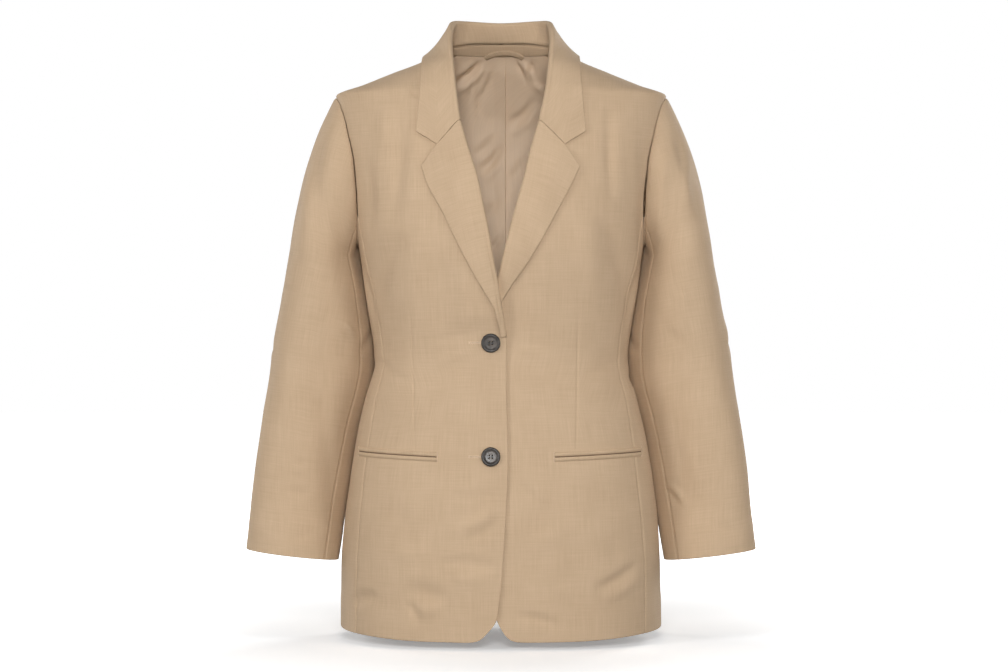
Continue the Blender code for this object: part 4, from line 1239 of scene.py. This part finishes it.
class Nodes:
    """A material's node tree, with short calls for the nodes that the finishes share."""

    def __init__(self, name):
        self.material = bpy.data.materials.new(name)
        self.material.use_nodes = True
        self.tree = self.material.node_tree
        self.shader = self.tree.nodes["Principled BSDF"]

    def add(self, kind, inputs=(), **settings):
        node = self.tree.nodes.new(kind)
        for name, value in settings.items():
            setattr(node, name, value)
        for name, value in dict(inputs).items():
            self.set(node.inputs[name], value)
        return node

    def set(self, socket, value):
        """Links a socket to another one, or gives it a value. A colour is three numbers."""
        if isinstance(value, bpy.types.NodeSocket):
            self.tree.links.new(value, socket)
        else:
            socket.default_value = (*value, 1) if socket.type == "RGBA" else value

    def grain(self):
        """Each point's place on the cloth."""
        return self.add("ShaderNodeAttribute", attribute_name="grain").outputs["Vector"]

    def place(self):
        return self.add("ShaderNodeTexCoord").outputs["Object"]

    def math(self, operation, first, second=0.0):
        return self.add("ShaderNodeMath", {0: first, 1: second}, operation=operation).outputs[0]

    def blend(self, *parts):
        """The sum of some values, each times its weight."""
        total = 0.0
        for value, weight in parts:
            total = self.add("ShaderNodeMath", {0: value, 1: weight, 2: total}, operation="MULTIPLY_ADD").outputs[0]
        return total

    def noise(self, vector, scale, detail=2.0):
        inputs = {"Vector": vector, "Scale": scale, "Detail": detail}
        return self.add("ShaderNodeTexNoise", inputs, noise_dimensions="3D").outputs["Fac"]

    def stretched(self, vector, along_x, along_y):
        """The vector scaled by its own number along each thread direction."""
        inputs = {"Vector": vector, "Scale": (along_x, along_y, 1.0)}
        return self.add("ShaderNodeMapping", inputs).outputs[0]

    def mix(self, share, first, second):
        return self.add("ShaderNodeMix", {0: share, 6: first, 7: second}, data_type="RGBA").outputs[2]

    def ramp(self, value, low, high, start=0.0, end=1.0):
        """From start to end, as the value goes from low to high."""
        inputs = {"Value": value, "From Min": low, "From Max": high, "To Min": start, "To Max": end}
        return self.add("ShaderNodeMapRange", inputs).outputs[0]

    def finish(self, colour, roughness, height=None, distance=0.0001, **fixed):
        for name, value in {"Base_Color": colour, "Roughness": roughness, **fixed}.items():
            self.set(self.shader.inputs[name.replace("_", " ")], value)
        if height is not None:
            bump = self.add("ShaderNodeBump", {"Height": height, "Distance": distance, "Strength": 1.0})
            self.set(self.shader.inputs["Normal"], bump.outputs[0])
        return self.material


def tinted(colour, share):
    return tuple(value * share for value in colour)


def thread_wave(nodes, along, pitch):
    """0 between two threads and 1 on the middle of each, one thread every pitch millimetres."""
    turns = nodes.math("MULTIPLY", along, math.pi / (pitch * MM))
    return nodes.math("ABSOLUTE", nodes.math("SINE", turns)), nodes.math("COSINE", turns)


def cloth_finish():
    """Plain weave in uneven linen-look yarn: slubs run along both threads, and the dye takes a little unevenly."""
    nodes = Nodes("linen_cloth")
    grain = nodes.grain()
    place = nodes.add("ShaderNodeSeparateXYZ", {0: grain}).outputs
    warp, warp_side = thread_wave(nodes, place[0], WEAVE_PITCH)
    weft, weft_side = thread_wave(nodes, place[1], WEAVE_PITCH)
    over = nodes.ramp(nodes.math("MULTIPLY", warp_side, weft_side), -0.35, 0.35)
    weave = nodes.blend((warp, over), (weft, nodes.math("SUBTRACT", 1.0, over)))
    down_slub = nodes.noise(nodes.stretched(grain, 900, 26), 1.0, 3.0)
    cross_slub = nodes.noise(nodes.stretched(grain, 22, 840), 1.0, 3.0)
    wide_slub = nodes.noise(nodes.stretched(grain, 260, 7), 1.0, 2.0)
    patch = nodes.noise(grain, 22.0, 3.0)
    slub = nodes.blend((down_slub, 0.55), (cross_slub, 0.45))
    tone = nodes.blend((slub, 0.66), (wide_slub, 0.1), (patch, 0.24))
    colour = nodes.mix(nodes.ramp(tone, 0.36, 0.64), CLOTH_DARK, CLOTH_LIGHT)
    # Painted shade: the cloth is darker in the gaps between the threads, where the weave sinks
    colour = nodes.mix(nodes.ramp(weave, 0, 1, 0.2, 0), colour, tinted(CLOTH_DARK, 0.72))
    roughness, height = nodes.ramp(slub, -0.4, 1.6, 0.74, 0.94), nodes.blend((weave, 1), (slub, 1.6))
    return nodes.finish(colour, roughness, height, 0.00011, Sheen_Weight=0.12, Sheen_Roughness=0.45,
                        Sheen_Tint=(0.95, 0.82, 0.66), Specular_IOR_Level=0.28)


def lining_finish():
    """Satin-weave viscose: fine diagonal lines and a soft sheen."""
    nodes = Nodes("satin_lining")
    grain = nodes.grain()
    place = nodes.add("ShaderNodeSeparateXYZ", {0: grain}).outputs
    turns = nodes.math("MULTIPLY", nodes.math("ADD", place[0], place[1]), 2 * math.pi / (TWILL_PITCH * MM))
    lines = nodes.math("SINE", turns)
    streaks = nodes.noise(nodes.stretched(grain, 520, 9), 1.0, 2.0)
    patch = nodes.noise(grain, 30.0, 2.0)
    tone = nodes.blend((streaks, 0.6), (patch, 0.4))
    colour = nodes.mix(nodes.ramp(tone, 0.35, 0.65), LINING_DARK, LINING_COLOUR)
    roughness, height = nodes.ramp(streaks, 0, 1, 0.46, 0.58), nodes.blend((lines, 0.3), (streaks, 1))
    return nodes.finish(colour, roughness, height, 0.00004, Sheen_Weight=0.08, Sheen_Roughness=0.3,
                        Specular_IOR_Level=0.3)


def mouth_shade_finish():
    """The pocketing deep in the slit, its colour darkened as painted shade because little light reaches it. The
    buttonhole slits use it too.
    """
    nodes = Nodes("pocket_lining_painted_shade")
    grain = nodes.grain()
    threads = nodes.noise(nodes.stretched(grain, 900, 900), 1.0, 2.0)
    colour = nodes.mix(threads, POCKET_MOUTH_SHADE_COLOUR, tinted(POCKET_MOUTH_SHADE_COLOUR, 1.5))
    return nodes.finish(colour, 0.9, threads, 0.00005)


def thread_finish(name, colour, roughness):
    """Twisted sewing thread: fine slanting ridges."""
    nodes = Nodes(name)
    place = nodes.place()
    twist = nodes.add("ShaderNodeTexWave", {"Vector": place, "Scale": 900.0, "Distortion": 1.0},
                      bands_direction="DIAGONAL").outputs["Fac"]
    # Painted shade and highlight: the grooves of the twist are darker and its ridges lighter, following its bump
    shade = nodes.mix(twist, tinted(colour, 0.82), tinted(colour, 1.1))
    return nodes.finish(shade, roughness, twist, 0.00004, Sheen_Weight=0.1)


def button_finish():
    """Horn-look resin: charcoal with soft, paler clouds and faint fibres."""
    nodes = Nodes("horn_resin")
    place = nodes.place()
    clouds = nodes.noise(place, 210.0, 4.0)
    fibres = nodes.noise(nodes.stretched(place, 160, 1500), 1.0, 3.0)
    tone = nodes.blend((clouds, 0.7), (fibres, 0.3))
    radius = nodes.add("ShaderNodeVectorMath", {0: place}, operation="LENGTH").outputs["Value"]
    pale = nodes.math("MULTIPLY", nodes.ramp(tone, 0.38, 0.66), nodes.ramp(radius, 0.0068, 0.0088, 1, 0.25))
    return nodes.finish(nodes.mix(pale, BUTTON_COLOUR, BUTTON_LIGHT), nodes.ramp(clouds, 0, 1, 0.24, 0.46), fibres,
                        0.00003, Specular_IOR_Level=0.3, Coat_Weight=0.08, Coat_Roughness=0.3)


# Pieces ----------------------------------------------------------------------------------------------------------


def settled(points, lift=0.0):
    """Points on the body of the blazer, moved out with the creases of the cloth that they lie on."""
    normals = outward(points)
    out = creased(points, normals, BODY_CREASES) + rumpled(points) + lift
    return points + normals * out[..., None], normals


def hem_step(far):
    """The hem is turned up inside, which lifts the cloth a little below its upper edge."""
    return HEM_STEP * (1 - ease(far["bottom"], HEM_DEPTH - 1.5, HEM_DEPTH + 1.5))


def body_panel(name, grid, side, seams, free, finish):
    """A front, side or back, with its edges sewn or free."""
    grid = sided(trimmed(grid), side)
    far = edge_distances(grid)
    points, normals = settled(grid, sewn(far, seams) + hem_step(far))
    half = CLOTH / 2 * thinned(far, free)
    piece = shell(f"cloth_{name}", points, normals, half, finish, [name], upright=True)
    return piece, grid


def sleeve_panel(name, turns, side, finish):
    """A top or under sleeve, sewn along its sides and into the armhole."""
    grid = sided(trimmed(sleeve_grid(*turns)), side)
    far = edge_distances(grid)
    height = grid[..., 2]
    centre = np.stack([SLEEVE_AT["centre_x"](height), SLEEVE_AT["centre_y"](height), height], -1)
    normals = grid_normals(grid, sided(centre, side))
    out = creased(grid, normals, SLEEVE_CREASES) + rumpled(grid) * ease(far["top"], 0, 25)
    out += sewn(far, ("first", "last"), 0.7) + hem_step(far)
    out -= SEAM_DIP * 1.2 * np.exp(-((far["top"] / (SEAM_REACH * 1.3)) ** 2))
    points = grid + normals * out[..., None]
    half = CLOTH / 2 * thinned(far, ("bottom",))
    return shell(f"cloth_{name}", points, normals, half, finish, [name]), grid


def turned_piece(name, grid, side, finish):
    """A lapel or the collar: one wall of folded cloth, full at its rolled free edge."""
    grid = sided(trimmed(grid), side)
    far = edge_distances(grid)
    on_body = creased(grid, outward(grid), BODY_CREASES) + rumpled(grid)
    if name == "collar":
        behind = ease(grid[..., 2], -60, 0)
        on_body = on_body * (1 - behind) + rumpled(grid) * 0.6 * behind
        inside = ease(grid[..., 1], 0, 30) * (1 - ease(far["bottom"], 18, 26))
        on_body -= creased(grid, FORWARD + 0 * grid, STAND_CREASES) * inside
    points = grid + outward(grid) * on_body[..., None]
    free = ("top", "bottom") if name == "collar" else ("top", "bottom", "first", "last")
    half = TURNED_CLOTH / 2 * thinned(far, free)
    return shell(f"cloth_{name}", points, grid_normals(points), half, finish, [name]), grid


def plain_piece(name, grid, side, thickness, finish, nodes, inside=False, round_off=EDGE_ROUND):
    """A small piece that lies on the body, or inside it."""
    grid = sided(grid, side)
    points, normals = (grid, outward(grid)) if inside else settled(grid)
    far = edge_distances(grid)
    share = np.ones(far["first"].shape)
    for edge in far.values():
        share = np.minimum(share, 0.15 + 0.85 * np.sqrt(1 - (1 - np.clip(edge / round_off, 0, 1)) ** 2))
    return shell(name, points, normals, thickness / 2 * share, finish, nodes), grid


def button_place(height):
    """The middle of a button's back and the way it faces."""
    own = on_face(-BUTTON_X, height, front_out("right", -BUTTON_X, height) + BUTTON_OUT)
    points, normals = settled(sided(own, -1))
    return points, normals


def fine_button(name, height, finish):
    """A turned four-hole button: a sunk face, a raised rim, and round holes."""
    profile = smooth(*zip(*BUTTON_TOP))
    radii = BUTTON_RADIUS * np.sin(np.linspace(0, math.pi / 2, 40))
    line = [(radius, float(profile(radius))) for radius in radii]
    line += [(11.35, 1.35), (10.9, 0.75), (10.1, 0.35), (8.5, 0.15), (0.0, 0.0)]
    shape = bmesh.new()
    verts = [shape.verts.new((radius * MM, 0, level * MM)) for radius, level in line]
    edges = [shape.edges.new(pair) for pair in zip(verts, verts[1:])]
    bmesh.ops.spin(shape, geom=verts + edges, axis=(0, 0, 1), cent=(0, 0, 0), angle=2 * math.pi,
                   steps=BUTTON_SIDES, use_merge=True)
    bmesh.ops.remove_doubles(shape, verts=shape.verts, dist=2e-6)
    bmesh.ops.recalc_face_normals(shape, faces=shape.faces)
    turned = linked(name, mesh_of(name, shape))
    turned.data.materials.append(finish)
    cutter = hole_cutter()
    cut = turned.modifiers.new("holes", "BOOLEAN")
    cut.operation = "DIFFERENCE"
    cut.object = cutter
    bpy.context.view_layer.update()
    cut_mesh = bpy.data.meshes.new_from_object(turned.evaluated_get(bpy.context.evaluated_depsgraph_get()))
    bpy.data.objects.remove(turned)
    bpy.data.objects.remove(cutter)
    centre, facing = button_place(height)
    turn = Vector(facing).to_track_quat("Z", "Y").to_matrix().to_4x4()
    cut_mesh.shade_smooth()
    cut_mesh.set_sharp_from_angle(angle=math.radians(40))
    return placed(f"turned_{name}", cut_mesh, [name], Matrix.Translation(Vector(centre * MM)) @ turn)


def hole_cutter():
    """Four round pins, which cut the holes of a button."""
    shape = bmesh.new()
    half, radius = BUTTON_HOLE_SPACING / 2 * MM, BUTTON_HOLE_RADIUS * MM
    for x in (-half, half):
        for y in (-half, half):
            bmesh.ops.create_cone(shape, cap_ends=True, segments=24, radius1=radius, radius2=radius,
                                  depth=8 * MM, matrix=Matrix.Translation((x, y, 1.2 * MM)))
    return linked("pins", mesh_of("pins", shape))


def button_threads(name, height, finish):
    """Thread through the holes: two upright bars, each of four strands, sunk into the button's face."""
    centre, facing = button_place(height)
    turn = np.array(Vector(facing).to_track_quat("Z", "Y").to_matrix())
    half = BUTTON_HOLE_SPACING / 2
    paths = []
    for x in (-half, half):
        for strand in (-0.45, -0.15, 0.15, 0.45):
            rise = 2.45 - 0.35 * abs(strand)
            over = ((-1.12, 0.4), (-1.1, 1.6), (-0.85, rise), (0, rise + 0.15), (0.85, rise), (1.1, 1.6), (1.12, 0.4))
            local = [(x + strand, half * y, level) for y, level in over]
            paths.append(np.array(local) @ turn.T + centre)
    return tubes(f"{name}_thread", paths, 0.2, finish)


def on_front(x, height, lift):
    """Points at x and height on the outer face of the right front, in the part's frame, lifted off it."""
    x, height = np.asarray(x, float), np.asarray(height, float)
    own = on_face(-x, height, front_out("right", -x, height) + CLOTH / 2 + lift)
    return settled(sided(own, -1))[0]


def buttonhole(name, height, finish):
    """A worked buttonhole: close purl stitches along both lips of the slit, a bar at its far end."""
    paths = []
    for x in np.arange(BUTTONHOLE[0], BUTTONHOLE[1], STITCH_PITCH):
        for sign in (-1, 1):
            jitter = 0.12 * math.sin(x * 5.3 + sign)
            across = np.array((0.18, 0.5, 0.95, 1.4, 1.65)) + jitter * np.array((0, 0, 0, 1, 1))
            lift = np.array((-0.2, 0.16, 0.26, 0.08, -0.3))
            paths.append(on_front(x + 0.04 * across, height + sign * across, lift))
    for x in BUTTONHOLE[0] - np.array((0.3, 0.8, 1.3)):
        across = np.array((-1.7, -1.4, -0.6, 0.6, 1.4, 1.7))
        paths.append(on_front(x + 0 * across, height + across, np.array((-0.35, 0.12, 0.32, 0.32, 0.12, -0.35))))
    for sign in (-1, 1):
        x = np.arange(BUTTONHOLE[0], BUTTONHOLE[1], 1.0)
        paths.append(on_front(x, height + sign * 0.34 + 0 * x, 0.26 + 0 * x))
    return tubes(name, paths, 0.2, finish)


def slit_shade_piece(name, height, finish):
    """A dark tube between the lips of a buttonhole: painted shade in the slit."""
    x = np.linspace(BUTTONHOLE[0], BUTTONHOLE[1], 24)
    path = on_front(x, height + 0 * x, 0.02 + 0 * x)
    return tubes(name, [path], 0.16, finish)


def pocket_tacks(hand, side, finish):
    """Small upright stitches that close both ends of a pocket's slit."""
    paths = []
    for end, way in ((0.0, 1), (1.0, -1)):
        x, middle = pocket_line(hand, end)
        for step in (-0.9, -0.3):
            across = np.linspace(-WELT_WIDTH - 0.8, WELT_WIDTH + 0.8, 12)
            own = on_face(x + way * step, middle + across, POCKET_MOUTH_OUT)
            points, normals = settled(sided(own, side))
            wave = 0.28 * np.abs(np.sin(np.linspace(0, 5 * math.pi, 12))) - 0.15
            paths.append(points + normals * wave[:, None])
    return tubes(f"pocket_tacks_{hand}", paths, 0.2, finish)


def build_pieces():
    """Makes every piece. Returns the cloth ones by node, each with the grid that it was made on."""
    cloth, lining, mouth_shade = cloth_finish(), lining_finish(), mouth_shade_finish()
    thread = thread_finish("sewing_thread", THREAD_COLOUR, 0.55)
    dark_thread = thread_finish("button_thread", BUTTON_THREAD_COLOUR, 0.5)
    horn = button_finish()
    sewn_round = ("first", "last", "top")
    sleeves = {
        "top_sleeve": (SLEEVE_SEAM_BACK - 360, SLEEVE_SEAM_FRONT),
        "under_sleeve": (SLEEVE_SEAM_FRONT, SLEEVE_SEAM_BACK),
    }
    made = {}
    for hand, side in HANDS:
        for part, grid, seams, free in (
            ("front", front_grid(hand), ("last", "top"), ("bottom", "first")),
            ("side_panel", side_grid(), sewn_round, ("bottom",)),
            ("back", back_grid(), sewn_round, ("bottom",)),
        ):
            name = f"{part}_{hand}"
            made[name] = body_panel(name, grid, side, seams, free, cloth)
        for part, turns in sleeves.items():
            name = f"{part}_{hand}"
            made[name] = sleeve_panel(name, turns, side, cloth)
        made[f"lapel_{hand}"] = turned_piece(f"lapel_{hand}", lapel_grid(hand), side, cloth)
        for part in ("upper", "lower"):
            name = f"pocket_welt_{part}_{hand}"
            made[name] = plain_piece(f"cloth_{name}", welt_grid(hand, part), side, THIN_CLOTH, cloth, [name])
        # The pocket mouth: a strip of pocket lining, darkened with painted shade
        name = f"pocket_mouth_{hand}"
        made[name] = plain_piece(name, pocket_mouth_grid(hand), side, 0.3, mouth_shade, [], round_off=0.2)
        pocket_tacks(hand, side, thread)
    made["collar"] = turned_piece("collar", collar_grid(), 1, cloth)
    for name, grid, thickness, round_off in (
        ("back_neck_facing", facing_grid(), THIN_CLOTH, EDGE_ROUND),
        ("hanger_loop", loop_grid(), LOOP_CLOTH, 2.2),
    ):
        made[name] = plain_piece(f"cloth_{name}", grid, 1, thickness, cloth, [name], True, round_off)
    made["back_lining"] = lining_piece(lining)
    for name, height in BUTTON_HEIGHTS.items():
        fine_button(name, height, horn)
        button_threads(name, height, dark_thread)
        hole = name.replace("button", "buttonhole")
        buttonhole(f"{hole}_stitches", height, thread)
        # The slit: a dark tube of painted shade
        slit_shade_piece(f"{hole}_slit", height, mouth_shade)
    return made


def lining_piece(finish):
    """The back lining, which hangs in folds from the seam below the facing, gathered a little there."""
    grid = lining_grid()
    normals = -outward(grid)
    far = edge_distances(grid)
    out = creased(grid, FORWARD + 0 * grid, LINING_CREASES) * ease(far["top"], 2, 14)
    out += rumpled(grid * 1.7) * 1.4 * ease(far["top"], 2, 25)
    gathers = np.sin(2 * math.pi * grid[..., 0] / 9.5) + np.sin(2 * math.pi * grid[..., 0] / 14.0 + 1)
    out += 0.28 * gathers * np.exp(-far["top"] / 7) * ease(far["top"], 0, 3)
    points = grid + normals * out[..., None]
    half = THIN_CLOTH / 2 * thinned(far, ("bottom", "first", "last"))
    return shell("satin_back_lining", points, normals, half, finish, ["back_lining"]), grid


# Floor, light and camera -----------------------------------------------------------------------------------------


def studio():
    """A white floor that brightens into a white surround, a broad soft light in front, and fill from all sides."""
    shape = bmesh.new()
    bmesh.ops.create_circle(shape, cap_ends=True, segments=64, radius=FLOOR_REACH)
    nodes = Nodes("studio_white")
    place = nodes.place()
    (near, near_glow), (far, far_glow) = FLOOR_GLOW
    away = nodes.add("ShaderNodeVectorMath", {0: place}, operation="LENGTH").outputs["Value"]
    glow = nodes.ramp(away, near, far, near_glow, far_glow)
    floor = linked("studio_floor", mesh_of("studio_floor", shape))
    floor.data.materials.append(nodes.finish((0.93, 0.93, 0.93), 0.95, Specular_IOR_Level=0.0,
                                             Emission_Color=(1, 1, 1), Emission_Strength=glow))
    floor.location.z = FLOOR * MM
    floor.visible_diffuse = False
    world = bpy.data.worlds.new("studio_world")
    world.use_nodes = True
    tree = world.node_tree
    seen = tree.nodes.new("ShaderNodeLightPath").outputs["Is Camera Ray"]
    strength = tree.nodes.new("ShaderNodeMapRange")
    strength.inputs["To Min"].default_value = WORLD_STRENGTH
    tree.links.new(seen, strength.inputs["Value"])
    tree.nodes["Background"].inputs["Color"].default_value = (1, 1, 1, 1)
    tree.links.new(strength.outputs[0], tree.nodes["Background"].inputs["Strength"])
    bpy.context.scene.world = world
    for name, place, aim, size, power in LIGHTS:
        data = bpy.data.lights.new(name, "AREA")
        data.shape = "RECTANGLE"
        data.size, data.size_y = size
        data.energy = power
        light = linked(name, data)
        light.location = place
        light.rotation_euler = (Vector(aim) - Vector(place)).to_track_quat("-Z", "Y").to_euler()


def camera():
    data = bpy.data.cameras.new("camera")
    data.sensor_width = 36.0
    data.lens = data.sensor_width * CAMERA_DISTANCE / VIEW_WIDTH
    view = linked("camera", data)
    view.location = (CAMERA_X, -CAMERA_DISTANCE, CAMERA_HEIGHT)
    view.rotation_euler = (math.pi / 2, 0, 0)
    bpy.context.scene.camera = view
    bpy.context.scene.view_settings.view_transform = "Standard"


build_pieces()
studio()
camera()
